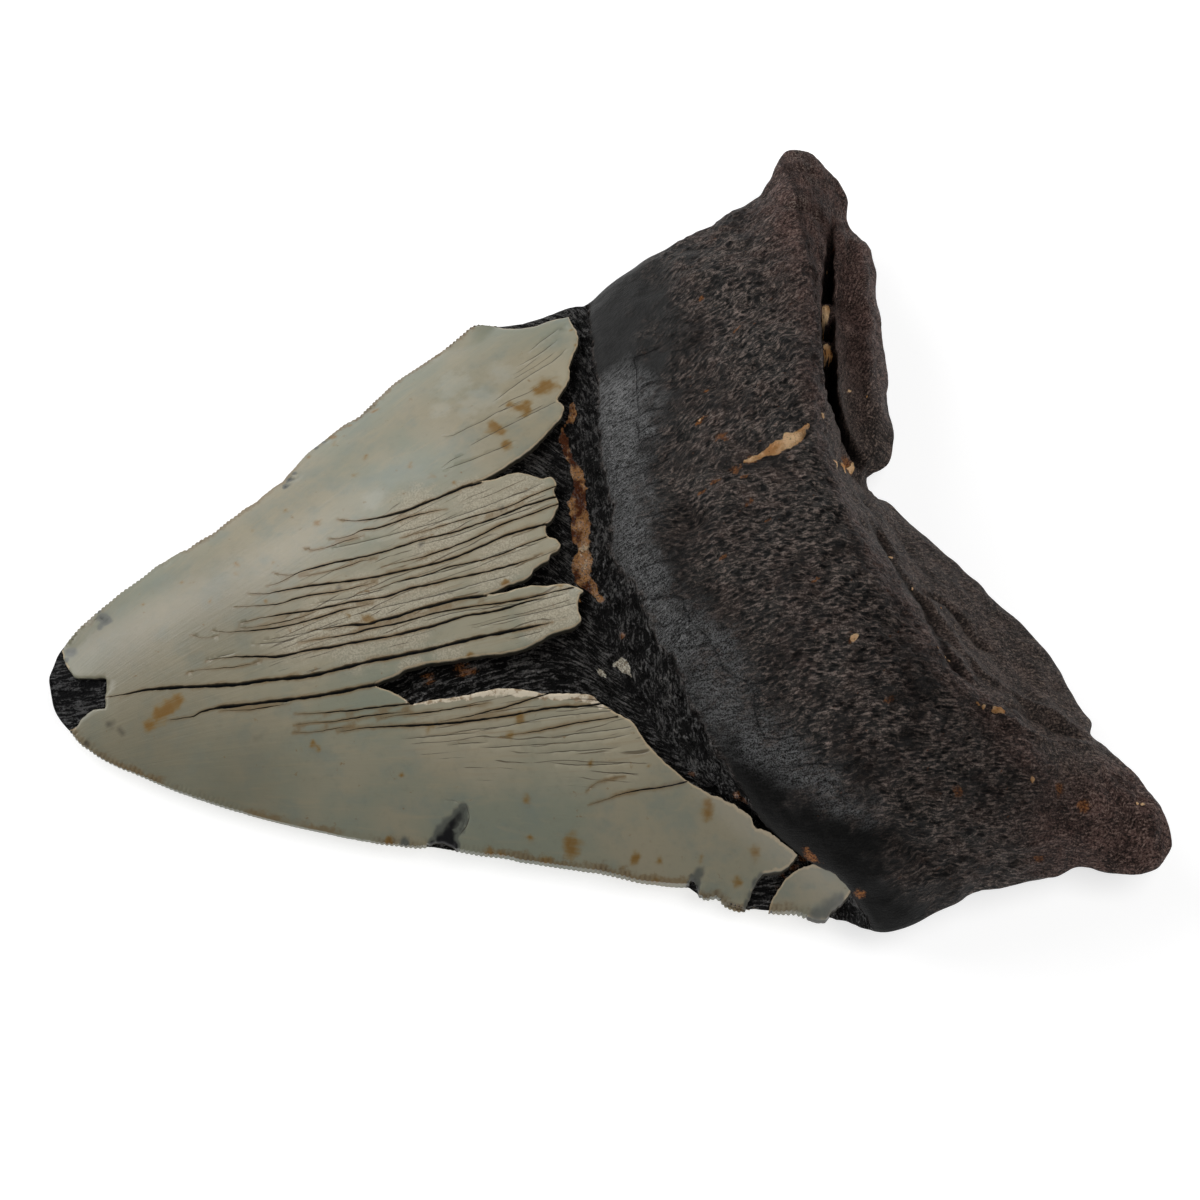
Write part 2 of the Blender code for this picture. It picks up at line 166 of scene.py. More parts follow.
def bspline_weights(controls, places):
    """Weights of a clamped cubic B-spline's controls at places 0 to controls - 3."""
    degree = 3
    spans = controls - degree
    knots = np.concatenate([np.zeros(degree), np.arange(spans + 1), np.full(degree, spans)])
    places = np.clip(places, 0, spans - 1e-9)[:, None]
    weights = ((knots[:-1] <= places) & (places < knots[1:])).astype(float)
    for d in range(1, degree + 1):
        rising = knots[d:-1] - knots[: -d - 1]
        falling = knots[d + 1 :] - knots[1:-d]
        left = (places - knots[: -d - 1]) / np.where(rising > 0, rising, 1)
        right = (knots[d + 1 :] - places) / np.where(falling > 0, falling, 1)
        weights = left * weights[:, :-1] + right * weights[:, 1:]
    return weights


def loft(cage, rows, columns):
    """Points of the surface over a cage of ribs, at each row and column."""
    return np.einsum("ua,abk,vb->uvk", bspline_weights(cage.shape[0], rows), cage,
                     bspline_weights(cage.shape[1], columns))


def labial_cage(lingual):
    """The cage of the flat labial face, which shares its outline with the lingual one."""
    cage = lingual.copy()
    last_rib = len(RIBS) - 1
    for rib in range(1, last_rib):
        for station in range(1, STATIONS - 1):
            by_outline = station in (1, STATIONS - 2)
            if rib < FIRST_LOBE_RIB:
                height = LABIAL_SHOULDER if by_outline else CROWN_BELLY
            else:
                height = LOBE_SHOULDER if by_outline else LOBE_BELLY
            if rib >= FIRST_ROOT_RIB and station in HOLLOW_STATIONS:
                height = LOBE_HOLLOW
            if rib == last_rib - 1:
                height += RIM_LIFT
            cage[rib, station, 2] = height
    return cage


def core_cage(cage, side, blade_inset, base_inset):
    """The cage drawn in below the enamel: side is 1 for the lingual face, -1 for the labial."""
    core = cage.copy()
    sunk_ribs = FIRST_ROOT_RIB if side > 0 else FIRST_ROOT_RIB + LABIAL_REACH
    for rib in range(sunk_ribs):
        inset = blade_inset * min(1.0, rib / 2)
        if rib >= FIRST_ROOT_RIB - 1:
            inset = base_inset if rib < FIRST_ROOT_RIB else 0
        depth = ENAMEL * min(1.0, 0.4 + rib / 2)
        along = cage[rib, -1, :2] - cage[rib, 0, :2]
        along /= np.hypot(*along)
        for station in range(STATIONS):
            core[rib, station, :2] += along * inset * (1 - 2 * ACROSS[station])
            if 0 < station < STATIONS - 1 and rib > 0:
                core[rib, station, 2] -= side * depth
    return core


def samples(points, size, octaves, seed):
    """Fractal noise of about -1 to 1 at each point; the same each run."""
    offset = Vector((31.7 * seed, 17.3 * seed, 5.9 * seed))
    return np.array([noise.fractal(Vector(p) / size + offset, 1.0, 2.0, octaves) for p in points])


def smooth(values, low, high):
    """0 below low, 1 above high and an even S between them."""
    t = np.clip((values - low) / (high - low), 0, 1)
    return t * t * (3 - 2 * t)


def bell(values):
    """1 at 0, and next to nothing beyond 2 on either side."""
    return np.exp(-(values**2))


def weathered(points, rows, columns, side):
    """The solid's own lumps, pits and nicked rim, faded out towards the crown."""
    root = np.clip((rows - ENAMEL_LINE - 0.5) / 2, 0, 1)[:, None]
    from_rim = np.clip(rows[-1] - rows, 0, 1)[:, None]
    from_side = np.clip(np.minimum(columns, columns[-1] - columns), 0, 1)[None, :]
    worn = points.copy()
    offsets = (Vector((0, 0, 0)), Vector((31, 17, 5)), Vector((7, 43, 29)))
    for i in np.nonzero(root[:, 0])[0]:
        for j in range(points.shape[1]):
            spot = Vector(points[i, j]) / ROUGH_SIZE
            rough = [noise.fractal(spot + offset, 0.9, 2.1, 2) for offset in offsets]
            worn[i, j] += ROUGHNESS * root[i, 0] * np.array(rough)
    x, y = points[:, :, 0], points[:, :, 1]
    nick = bell((y - NOTCH[1]) / NOTCH_WIDTH) * np.clip(1 + (x - NOTCH[0]) / NOTCH_REACH, 0, 1)
    worn[:, :, 0] -= NOTCH_DEPTH * nick * root
    if side > 0:
        for lump_x, lump_y, radius, height in LUMPS:
            near = np.exp(-((x - lump_x) ** 2 + (y - lump_y) ** 2) / radius**2)
            worn[:, :, 2] += height * near * from_rim * from_side
    worn[:, :, 2] = np.maximum(worn[:, :, 2], 0)
    return worn


LINGUAL = np.array(list(RIBS.values()), float)
LABIAL = labial_cage(LINGUAL)
SPANS = len(RIBS) - 3
COLUMN_SPANS = STATIONS - 3


def solid_low_corner():
    """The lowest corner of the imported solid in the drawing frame, from its own coarse grid."""
    crown = np.linspace(0, ENAMEL_LINE, SOLID_CROWN_ROWS, endpoint=False)
    rows = np.concatenate([crown, np.linspace(ENAMEL_LINE, SPANS, SOLID_ROOT_ROWS)])
    columns = np.linspace(0, COLUMN_SPANS, SOLID_COLUMNS)
    corners = []
    for cage, side in ((LINGUAL, 1), (LABIAL, -1)):
        core = core_cage(cage, side, SOLID_INSET, SOLID_BASE_INSET)
        corners.append(weathered(loft(core, rows, columns), rows, columns, side).min(axis=(0, 1)))
    return np.min(corners, axis=0)


BOX_LOW, BOX_HIGH = (np.array(corner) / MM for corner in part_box("tooth"))
SHIFT = BOX_LOW - solid_low_corner()


# ---------------------------------------------------------------- casting pixels onto the tooth
BACK = np.array([
    math.sin(AZIMUTH) * math.cos(ELEVATION), -math.cos(AZIMUTH) * math.cos(ELEVATION), math.sin(ELEVATION),
])
RIGHT = np.array([math.cos(AZIMUTH), math.sin(AZIMUTH), 0])
UP = np.cross(BACK, RIGHT)
AHEAD = np.cross([0, 0, 1], RIGHT)
EYE = BACK * DISTANCE


def ray(pixel):
    reach = SENSOR / 2 / LENS / HALF_PICTURE
    right = (pixel[0] - HALF_PICTURE) * reach
    down = (pixel[1] - HALF_PICTURE) * reach
    return RIGHT * right - UP * down - BACK


def grid_faces(rows, columns):
    index = np.arange(rows * columns).reshape(rows, columns)
    return np.stack([index[:-1, :-1], index[1:, :-1], index[1:, 1:], index[:-1, 1:]], -1).reshape(-1, 4)


class Surface:
    """A lofted sheet that pixels are cast onto and heights are read from."""

    def __init__(self, points):
        faces = grid_faces(*points.shape[:2])
        self.tree = BVHTree.FromPolygons(points.reshape(-1, 3).tolist(), faces.tolist())

    def cast(self, pixel):
        place, _, face, _ = self.tree.ray_cast(Vector(EYE), Vector(ray(pixel)).normalized())
        return place, face

    def heights(self, spots, otherwise):
        """The sheet's height at each (x, y), or the other value where it has none."""
        found = np.full(len(spots), float(otherwise))
        for k, (x, y) in enumerate(spots):
            place = self.tree.ray_cast(Vector((x, y, 90)), Vector((0, 0, -1)))[0]
            if place:
                found[k] = place.z
        return found


def at_height(pixel, height):
    """Where a pixel's ray meets a level plane."""
    along = ray(pixel)
    return EYE + along * (height - EYE[2]) / along[2]


def pairs(flat):
    return list(zip(flat[::2], flat[1::2]))


def on_sheet(flat, sheet):
    """Pixels, as one flat tuple, cast onto a sheet, or onto the cutting edges' plane beside it."""
    spots = []
    for pixel in pairs(flat):
        place = sheet.cast(pixel)[0]
        spots.append(np.array(place) if place else at_height(pixel, EDGE_HEIGHT))
    return np.array(spots)


def on_edge(flat):
    """Pixels on a cutting edge."""
    return np.array([at_height(pixel, EDGE_HEIGHT) for pixel in pairs(flat)])


def distances_along(points):
    """How far along a line each of its points lies."""
    return np.concatenate([[0], np.cumsum(np.linalg.norm(np.diff(points, axis=0), axis=1))])


def left_of(points):
    """Unit vectors to the left of a line in plan, at each of its points."""
    tangent = np.gradient(points[:, :2], axis=0)
    tangent /= np.maximum(np.linalg.norm(tangent, axis=1, keepdims=True), 1e-9)
    return np.stack([-tangent[:, 1], tangent[:, 0]], -1)


def curve_through(points, step):
    """Points at about every step along a smooth curve through the given ones."""
    points = np.asarray(points, float)
    padded = np.concatenate([[2 * points[0] - points[1]], points, [2 * points[-1] - points[-2]]])
    dense = []
    for a, b, c, d in zip(padded, padded[1:], padded[2:], padded[3:]):
        chord = np.linalg.norm(c - b)
        t = np.linspace(0, 1, max(2, int(chord / step * 4)), endpoint=False)[:, None]
        tangent_in, tangent_out = (c - a) / 2, (d - b) / 2
        for tangent in (tangent_in, tangent_out):
            tangent *= min(1, chord / max(np.linalg.norm(tangent), 1e-9))
        dense.append(
            (2 * t**3 - 3 * t**2 + 1) * b + (t**3 - 2 * t**2 + t) * tangent_in
            + (3 * t**2 - 2 * t**3) * c + (t**3 - t**2) * tangent_out
        )
    dense = np.concatenate([*dense, points[-1:]])
    along = distances_along(dense)
    places = np.linspace(0, along[-1], max(2, round(along[-1] / step) + 1))
    return np.stack([np.interp(places, along, dense[:, k]) for k in range(points.shape[1])], -1)


def even_places(cage, axis, count, emphasis):
    """Parameters of evenly spaced rows (axis 0) or columns (axis 1), closer where emphasis is high."""
    rows = np.linspace(0, SPANS, 441 if axis == 0 else 60)
    columns = np.linspace(0, COLUMN_SPANS, 60 if axis == 0 else 361)
    places = rows if axis == 0 else columns
    grid = np.swapaxes(loft(cage, rows, columns), 0, axis)
    steps = np.linalg.norm(np.diff(grid, axis=0), axis=-1).mean(axis=1)
    middles = (places[:-1] + places[1:]) / 2
    along = np.concatenate([[0], np.cumsum(steps * emphasis(middles))])
    return np.interp(np.linspace(0, along[-1], count), along, places)


# ---------------------------------------------------------------- the enamel's outline
SERRATION = 0.65  # pitch of the cutting edges' teeth, in millimetres
NOTCH_CUT = 0.2  # depth of the notches between them
EDGE_STEP = 0.125  # spacing of outline points along a cutting edge
BREAK_STEP = 0.28  # and along a broken edge
THIN_EDGE = 0.3  # enamel thickness at the cutting edge

# The enamel's outline on the lingual face, in pixels: along the near edge from the tip to the root,
# back over the broken edges and along the far edge to the tip again
NEAR_EDGE = (
    70, 732, 80, 744, 90, 751, 100, 758, 120, 768, 140, 776, 170, 789, 200, 800, 230, 809.5, 260, 818,
    290, 825.5, 320, 832, 350, 838.5, 380, 844, 400, 846.5, 419, 848.4, 430, 846.5,
)
SCALLOP = (430, 846.5, 436, 845, 443, 844.8, 450, 847, 453.5, 849, 456.5, 851.5)
NEAR_EDGE_MIDDLE = (
    456.5, 851.5, 480, 855.7, 507, 858.8, 520, 862, 540, 865, 560, 868, 580, 871, 600, 874, 620, 878.5,
    640, 883, 660, 885.5, 680, 887.6, 689, 888,
)
SECOND_SCALLOP = (689, 888, 690.5, 885, 693.5, 885.5, 696.5, 890.5, 699, 897)
NEAR_EDGE_END = (
    699, 897, 705.5, 900.3, 717, 899.5, 724.6, 906.7, 737.4, 911.8, 745, 911.5,
)
LOWER_PLATE_END = (
    745, 911.5, 748, 903, 751.4, 892.7, 756.5, 882.4, 763, 873.5, 773, 871, 782, 869.7, 790, 864.5,
    797.3, 854.4,
)
LOWER_PLATE_TOP = (
    797.3, 854.4, 790, 847.5, 782, 841.6, 775, 835.5, 768, 831.4, 757.2, 827.6, 749.5, 816, 742, 809.5,
    734.8, 804, 722, 798.5, 711.9, 794.4, 700, 788.5, 687.7, 781, 680, 775, 665, 762, 652, 749, 641, 734,
    633, 722, 618, 713, 601, 703, 592, 695, 580, 693.5, 562, 693, 544, 693, 529, 690, 508, 688, 493, 689,
    472, 693, 452, 697, 429, 700, 411, 703.5, 404, 698, 396, 693.5, 388, 690, 378.5, 687,
)
WEDGE_TIP = (378.5, 687, 375, 684.5, 379, 681.5)
MIDDLE_LOWER_EDGE = (
    379, 681.5, 396, 675, 405, 669, 416, 666, 434, 662, 452, 660, 472, 656, 493, 654, 508, 652, 523, 648,
    540.3, 640, 553, 632.6, 565.8, 628.8, 576, 625, 581.1, 618.6, 578.6, 610.9, 577.9, 603.3, 579.8, 594.3,
    583.7, 590.5, 576, 586, 565.8, 583, 546.7, 584.8, 527.6, 585.5, 504, 592, 488, 596.5,
)
MIDDLE_EDGE = (
    484, 594.5, 499, 589, 508.4, 584.1, 521.2, 580.3, 530.1, 575.2, 532.7, 570.1, 540.3, 563.7, 548, 559.9,
    550.5, 553.5, 557.5, 549.7, 560.7, 544.6, 556.9, 539.5, 549.2, 536.3, 545.4, 531.8, 546.7, 524.2,
    551.8, 519.1, 555, 511.4, 558.2, 505, 556.9, 497.4, 553.7, 491, 556.3, 484.6, 551.8, 477, 542.9, 478.3,
    533.9, 475.7, 521.2, 472.5, 509.7, 473.8, 502, 476.4, 489.3, 479.5, 478, 483.5,
)
UPPER_LOWER_EDGE = (
    474, 482, 491, 475, 507.6, 464.7, 522.9, 454.5, 536.9, 443, 552.2, 426.5, 561.2, 416.3, 563.7, 406,
    557.3, 398.4, 566.3, 384.4, 570, 372.9, 568.8, 366.5, 572.7, 355, 577.8, 343.6, 577.1, 332,
    571.4, 323.2, 568.8, 316.5,
)
FAR_CORNER = (568.8, 316.5, 552.2, 320, 535.7, 325.7, 519, 328.3, 506.3, 328.3, 494.8, 326.4, 483.4, 325)
FAR_EDGE = (
    483.4, 325, 477.6, 324.4, 470.6, 327, 461.7, 334.6, 440, 352.5, 420, 366.5, 396, 381.5, 380, 397,
    372, 405, 364, 413.5, 360.5, 418, 352, 422.5, 346, 424.5, 340, 428, 330, 436, 318, 445.5, 308, 453,
    301, 461.5, 295, 470, 288, 478.5, 283, 485.8, 275, 490.5, 268, 496, 262, 500.5, 257, 505.8, 246, 511,
    235, 519.5, 227, 524.5, 220, 531, 214, 536, 200, 543, 194, 547, 188, 551.8, 182, 553, 169, 560,
    157, 566.5, 150, 572, 144, 577.5, 134, 584.5, 120, 594, 108, 604, 100, 610.5, 90, 618.5, 80, 627,
    70, 639, 62, 651,
)
WORN_TIP = (
    62, 651, 65.5, 663, 69.3, 669.7, 75.7, 676.8, 91, 678, 105, 678, 106.3, 686.3, 105, 696.5, 105, 708,
    93.6, 709.3, 82, 718, 75.7, 727, 70, 732,
)
CORNER_ISLAND = (
    798.6, 868.4, 788.4, 876, 779.5, 887.6, 771.8, 900.3, 768.3, 913.5, 780, 914.5, 795, 915.5,
    808.8, 916.5, 818, 919, 826, 919, 831.5, 911.5, 838.5, 904.5, 846.5, 897.5, 852.2, 887.6, 849.6, 880.5,
    843, 875, 835, 870, 826.7, 865.7, 815, 864.8, 806, 866, 798.6, 868.4,
)
NEAR_CORNER = CORNER_ISLAND[8:16]

# ---------------------------------------------------------------- the body: dentine, neck and root
BODY_ROWS, BODY_COLUMNS = 247, 301  # odd, because the labial sheet takes every other one

# Borders of the root's zones, in pixels, from the far edge to the near edge
BOURLETTE_CROWN_BORDER = (
    589, 306, 592, 340, 598, 385, 601, 440, 606, 475, 612, 500, 613, 520, 611, 537, 613, 553, 621, 568,
    634, 581, 645, 600, 653, 613, 658, 640, 670, 655, 683, 675, 686, 694, 700, 718, 722, 756, 745, 796,
    770, 832, 800, 856, 830, 872, 858, 905,
)
BOURLETTE_ROOT_BORDER = (
    676, 262, 690, 300, 694, 350, 690, 420, 686, 500, 720, 580, 766, 655, 815, 730, 868, 800, 925, 860,
    950, 895,
)
# Lines are in pixels, and their widths too, at each point
TORUS_CRACK = (725, 468, 742, 462, 752, 457.5, 765, 452.5, 775, 447, 785, 442, 793, 438.5, 801, 431, 809, 424)
TORUS_CRACK_WIDTHS = (1, 2, 5, 9, 11, 14, 21, 12, 4)
SEAM = (
    571, 402, 573, 412, 570, 420, 563, 427, 562, 438, 566, 452, 574, 465, 579, 480, 577, 500, 580, 528,
    584, 548, 581, 565, 582, 577, 592, 588, 600, 600,
)
SEAM_WIDTHS = (3, 9, 5, 1.5, 8, 7, 8, 12, 18, 15, 15, 17, 12, 9, 6)
CHIP, CHIP_WIDTHS = (614, 665, 620, 661, 624, 667, 630, 676), (3, 9, 8, 2)
SMALL_CHIP, SMALL_CHIP_WIDTHS = (599, 671, 602, 673, 605, 676), (5, 6, 3)
POLISHED = (  # the middle of the glossy band worn along the bourlette, whose ripples get painted glints
    630, 352, 620, 384, 623, 415, 626, 455, 628, 500, 631, 545, 648, 588, 664, 622, 692, 655, 722, 688,
    750, 720, 790, 758, 840, 790, 880, 806,
)
POLISHED_WIDTHS = (4, 52, 74, 62, 46, 46, 44, 50, 70, 70, 52, 38, 34, 20)
SEDIMENT_SPOTS = (  # x, y, radius, all in pixels
    (826, 271, 3), (825, 312, 5), (825, 320, 6.5), (826, 329, 4.5), (825, 348, 5), (826, 357, 6.5),
    (832, 354, 4), (823, 366, 4), (823, 416, 3), (835, 464, 4), (842, 467, 6), (851, 468, 5), (891, 559, 3),
    (905, 583, 1.5), (912, 589, 1.5), (940, 607, 1.2), (936, 648, 3.2), (945, 656, 1.5), (949, 661, 1.3),
    (977, 704, 2.2), (983, 706, 2), (995, 709, 3), (1001, 710, 3.5), (1033, 779, 2.2), (1137, 803, 1.5),
    (1143, 804, 1.5), (855, 637, 3.2), (578, 600, 3), (700, 421, 2), (704, 418, 1.6), (849, 391, 1.5),
    (866, 397, 1.3),
)
FLECKS = (  # rusty slivers caught in the root's grain: both ends, in pixels
    (697, 424, 707, 416), (717, 441, 728, 432), (722, 437, 727, 441), (706, 392, 709, 391),
    (737, 470, 744, 464), (712, 484, 720, 480), (699, 496, 704, 492), (742, 478, 748, 476),
    (735, 331, 741, 327), (700, 300, 706, 296), (745, 505, 752, 501), (764, 521, 770, 518),
    (722, 560, 728, 556), (812, 580, 819, 577), (850, 640, 857, 637),
)
DUST_SPOTS = ((797, 156, 9), (806, 168, 10), (797, 205, 8), (812, 180, 7), (818, 215, 7), (846, 396, 3))
RUST_SPOTS = (
    (735, 798, 4), (741, 803, 3), (812, 857, 7), (800, 862, 5), (792, 869, 4), (783, 878, 4), (777, 887, 3),
    (859, 893, 4), (462, 667, 6), (470, 672, 5), (425, 681, 6), (596, 590, 7), (620, 636, 3), (752, 459, 6),
    (735, 466, 5), (721, 437, 4), (846, 467, 13), (833, 252, 3), (692, 775, 3), (828, 340, 7),
    (1085, 805, 5), (1040, 860, 5), (890, 700, 5), (960, 790, 6), (1060, 790, 6),
)
# Pits: x, y and radius in pixels and depth in millimetres
DARK_PITS = ((690, 522, 14, 0.9), (704, 560, 8, 0.5), (866, 500, 12, 0.8), (660, 470, 6, 0.2))
ROOT_CRACKS = (  # fine cracks in the bourlette, in pixels
    (684, 600, 685, 607, 688, 615, 691, 621, 700, 630, 710, 640, 713, 646, 720, 659, 722, 666, 727, 671,
     738, 678, 743, 680, 748, 684, 753, 690, 755, 698, 754, 707, 758, 722, 760, 730, 765, 735),
    (637, 358, 645, 355, 652, 352, 659, 349), (635, 361, 638, 371, 638, 392, 639, 405, 641, 415),
    (642, 388, 650, 385, 657, 382), (604, 428, 612, 424, 622, 422, 632, 419, 641, 416, 648, 412, 664, 408),
    (640, 433, 648, 428, 657, 425), (640, 445, 648, 440, 661, 434), (638, 425, 640, 433, 641, 450),
    (606, 474, 613, 471, 633, 467, 642, 464), (646, 476, 648, 471, 653, 468, 668, 460),
    (644, 489, 650, 485, 662, 482), (646, 517, 655, 516, 663, 512), (640, 570, 652, 565, 670, 560),
    (674, 648, 690, 648, 706, 646), (690, 674, 698, 672, 709, 669), (686, 682, 695, 682, 717, 679),
    (755, 697, 762, 695), (754, 708, 770, 706), (743, 680, 757, 684, 768, 680),
    (766, 738, 778, 739, 802, 735), (762, 728, 790, 722), (772, 752, 800, 750, 822, 744),
    (788, 768, 815, 764, 838, 765), (655, 600, 668, 596, 680, 598), (662, 628, 676, 624, 688, 626),
    (676, 636, 690, 634),
)


def beside(spots, a, b):
    """The share of the way along a segment at which each spot lies beside it, and the way to the spot."""
    along = b - a
    t = np.clip((spots - a) @ along / max(along @ along, 1e-12), 0, 1)
    return t, spots - a - t[:, None] * along


def distance_to_line(points, line):
    """How far each point is from an open polyline, and the share of the way along it, in plan."""
    best = np.full(len(points), 1e9)
    share = np.zeros(len(points))
    for k, (a, b) in enumerate(zip(line[:-1, :2], line[1:, :2])):
        t, away = beside(points[:, :2], a, b)
        off = np.linalg.norm(away, axis=1)
        nearer = off < best
        best[nearer] = off[nearer]
        share[nearer] = (k + t[nearer]) / (len(line) - 1)
    return best, share


def crack_distances(points, cracks, sheet):
    """Each point's distance from the nearest crack, and the same with a sign that changes across it."""
    nearest = np.full(len(points), FAR)
    signed = nearest.copy()
    for flat in cracks:
        line = curve_through(on_sheet(flat, sheet), 0.35)
        low, high = line.min(axis=0)[:2] - 1, line.max(axis=0)[:2] + 1
        close = np.nonzero(((points[:, :2] > low) & (points[:, :2] < high)).all(axis=1))[0]
        for a, b in zip(line[:-1, :2], line[1:, :2]):
            away = beside(points[close, :2], a, b)[1]
            off = np.linalg.norm(away, axis=1)
            better = off < nearest[close]
            side = np.sign((b - a)[0] * away[:, 1] - (b - a)[1] * away[:, 0])
            nearest[close[better]] = off[better]
            signed[close[better]] = (off * side)[better]
    return nearest, signed


def sheet_normals(points):
    """Unit normals of a lofted sheet, up on a lingual one."""
    normals = np.cross(np.gradient(points, axis=0), np.gradient(points, axis=1))
    return normals / np.maximum(np.linalg.norm(normals, axis=-1, keepdims=True), 1e-9)


def border_rows(sheet, rows, columns, flat):
    """The row parameter of a border at every column, from pixels cast onto a sheet."""
    found = []
    for pixel in pairs(flat):
        face = sheet.cast(pixel)[1]
        if face is not None:
            i, j = divmod(face, len(columns) - 1)
            found.append((columns[j], rows[i]))
    return np.interp(columns, *zip(*sorted(found)))


FAR = 9.0  # millimetres: what an attribute holds where the feature it measures from isn't near
RIM_HEIGHT = 7.0  # about how high the root's outline lies
NUDGES = (  # x, y, the move to the right and down, and the radius it fades over, all in pixels
    (855, 222, -13, 0, 22), (797, 147, 2, 5, 18), (862, 245, -3, 0, 14), (893, 420, 5, 0, 26),
    (890, 492, -12, 0, 18), (882, 470, -3, -3, 14), (1003, 602, -4, 0, 14), (1100, 733, -9, 0, 11),
    (1080, 873, 0, -6, 20), (1030, 891, 0, -8, 24), (985, 899, 0, -8, 24), (935, 920, 0, -6, 26),
    (592, 299, 0, 5, 14), (722, 222, 0, -5, 18), (842, 178, 7, -1, 13), (874, 480, -2, -8, 11),
    (737, 197, 0, -4, 9),
)
FOLDS = (  # the rise (or cut) and the half width in millimetres, and the crest's pixels
    (2.3, 1.9, (862, 246, 866, 300, 868, 350, 872, 400, 876, 438)),
    (-1.7, 0.9, (866, 510, 878, 530, 890, 555, 905, 578, 925, 605, 940, 635, 955, 662, 978, 690)),
    (-1.2, 0.7, (915, 585, 938, 598, 955, 612, 975, 640, 990, 650)),
    (1.1, 0.8, (930, 600, 955, 640, 985, 675, 1020, 699, 1050, 712, 1085, 733)),
    (-0.9, 0.6, (1000, 702, 1030, 717, 1062, 731, 1085, 740)),
    (0.8, 0.7, (1000, 712, 1035, 735, 1062, 742, 1100, 749, 1115, 757)),
    (0.6, 0.9, (890, 813, 915, 822, 935, 838, 960, 852)), (-0.5, 0.8, (930, 860, 900, 842, 870, 833)),
    (-0.7, 1.3, (1050, 812, 1090, 826, 1130, 842)), (0.5, 0.9, (802, 778, 835, 774, 858, 784, 900, 812)),
    (-0.8, 0.9, (750, 199, 775, 200, 800, 207, 818, 216, 830, 230)),
)
CREVICE = (
    836, 206, 831, 236, 829, 262, 827, 290, 825, 320, 825, 350, 827, 385, 827, 412, 832, 430, 842, 441,
    856, 448, 872, 456, 888, 463,
)
CREVICE_WIDTHS = (3, 5, 8, 12, 15, 15, 14, 13, 15, 16, 14, 10, 7)  # pixels, at each of its points
CREVICE_TOP = 12  # the height that its pixels are cast to
CREVICE_FLOOR, FILLED_FLOOR = 7.5, 14.5
CREVICE_FILLS = ((824, 320, 17), (825, 357, 15))  # sediment in it: x, y and radius in pixels


def off_pixel(points, x, y, height, radius):
    """How far points are in plan from a pixel's place at a height, in units of a radius in pixels."""
    return np.linalg.norm(points[..., :2] - at_height((x, y), height)[:2], axis=-1) / (radius * PIXEL)


def half_width(share, widths):
    """Half a strip's width in millimetres, at shares of the way along it."""
    return np.interp(share * (len(widths) - 1), range(len(widths)), widths) * PIXEL / 2


def nudged(points):
    """A sheet moved in plan so that the root's outline follows the photograph's."""
    moved = points.copy()
    for x, y, right, down, radius in NUDGES:
        weight = bell(off_pixel(points, x, y, RIM_HEIGHT, radius))[..., None]
        moved += weight * (RIGHT * right - AHEAD / math.sin(ELEVATION) * down) * PIXEL
    return moved


def carved(points):
    """The lingual sheet with the folds and the crevice of the root's back, and each point's cut."""
    flat = points.reshape(-1, 3).copy()
    sheet = Surface(points)
    cut = np.zeros(len(flat))
    for rise, half, path in FOLDS:
        off, share = distance_to_line(flat, curve_through(on_sheet(path, sheet), 1.0))
        change = rise * bell(off / half) * smooth(np.minimum(share, 1 - share), -0.05, 0.12)
        flat[:, 2] += change
        cut = np.maximum(cut, -change)
    crevice = np.array([at_height(pixel, CREVICE_TOP) for pixel in pairs(CREVICE)])
    off, share = distance_to_line(flat, crevice)
    off /= half_width(share, CREVICE_WIDTHS)
    inside = 1 - smooth(off + 0.25 * samples(flat * (1, 1, 0), 3.5, 3, 8), 0.7, 1.25)
    inside *= smooth(share + 0.02 * samples(flat, 3, 2, 9), 0, 0.25)
    filled = np.zeros(len(flat))
    for x, y, radius in CREVICE_FILLS:
        filled = np.maximum(filled, 1 - smooth(off_pixel(flat, x, y, CREVICE_TOP, radius), 0.5, 1.1))
    floor = CREVICE_FLOOR + (FILLED_FLOOR - CREVICE_FLOOR) * filled
    drop = inside * np.maximum(flat[:, 2] - floor, 0)
    flat[:, 2] -= drop
    return flat.reshape(points.shape), np.maximum(cut, np.minimum(drop, 4) * (1 - filled))


def body_grid():
    """The body's rows, closer together on the root, and its columns."""
    rows = even_places(
        LINGUAL, 0, BODY_ROWS, lambda u: 0.3 + 0.35 * smooth(u, 2.4, 3.2) + 0.5 * smooth(u, 3.6, 4.4))
    return rows, even_places(LINGUAL[FIRST_ROOT_RIB:], 1, BODY_COLUMNS, np.ones_like)


def edge_profile(runs):
    """The body's own edge in plan, from pixels and how far inside each the body stays: x and y, by x."""
    spots = []
    for flat, margin in runs:
        for place in on_edge(flat):
            spots.append((place[0], place[1] - math.copysign(margin, place[1])))
    return np.array(sorted(spots)).T


def body_sheet(cage, side, rows, columns):
    """A sheet of the body, its crown's two edges on the body's own edges and its root nudged."""
    core = core_cage(cage, side, INSET, INSET)
    sheet = weathered(loft(core, rows, columns), rows, columns, side)
    fitted = sheet.copy()
    crown = 1 - smooth(rows, ENAMEL_LINE - 0.2, ENAMEL_LINE + 0.9)
    from_near = np.linspace(0, 2, len(columns))
    for edge, profile, off in ((0, near_profile, from_near), (-1, far_profile, from_near[::-1])):
        shift = (np.interp(sheet[:, edge, 0], *profile) - sheet[:, edge, 1]) * crown
        fitted[:, :, 1] += shift[:, None] * (1 - np.clip(off, 0, 1)[None]) ** 2
    return nudged(fitted)


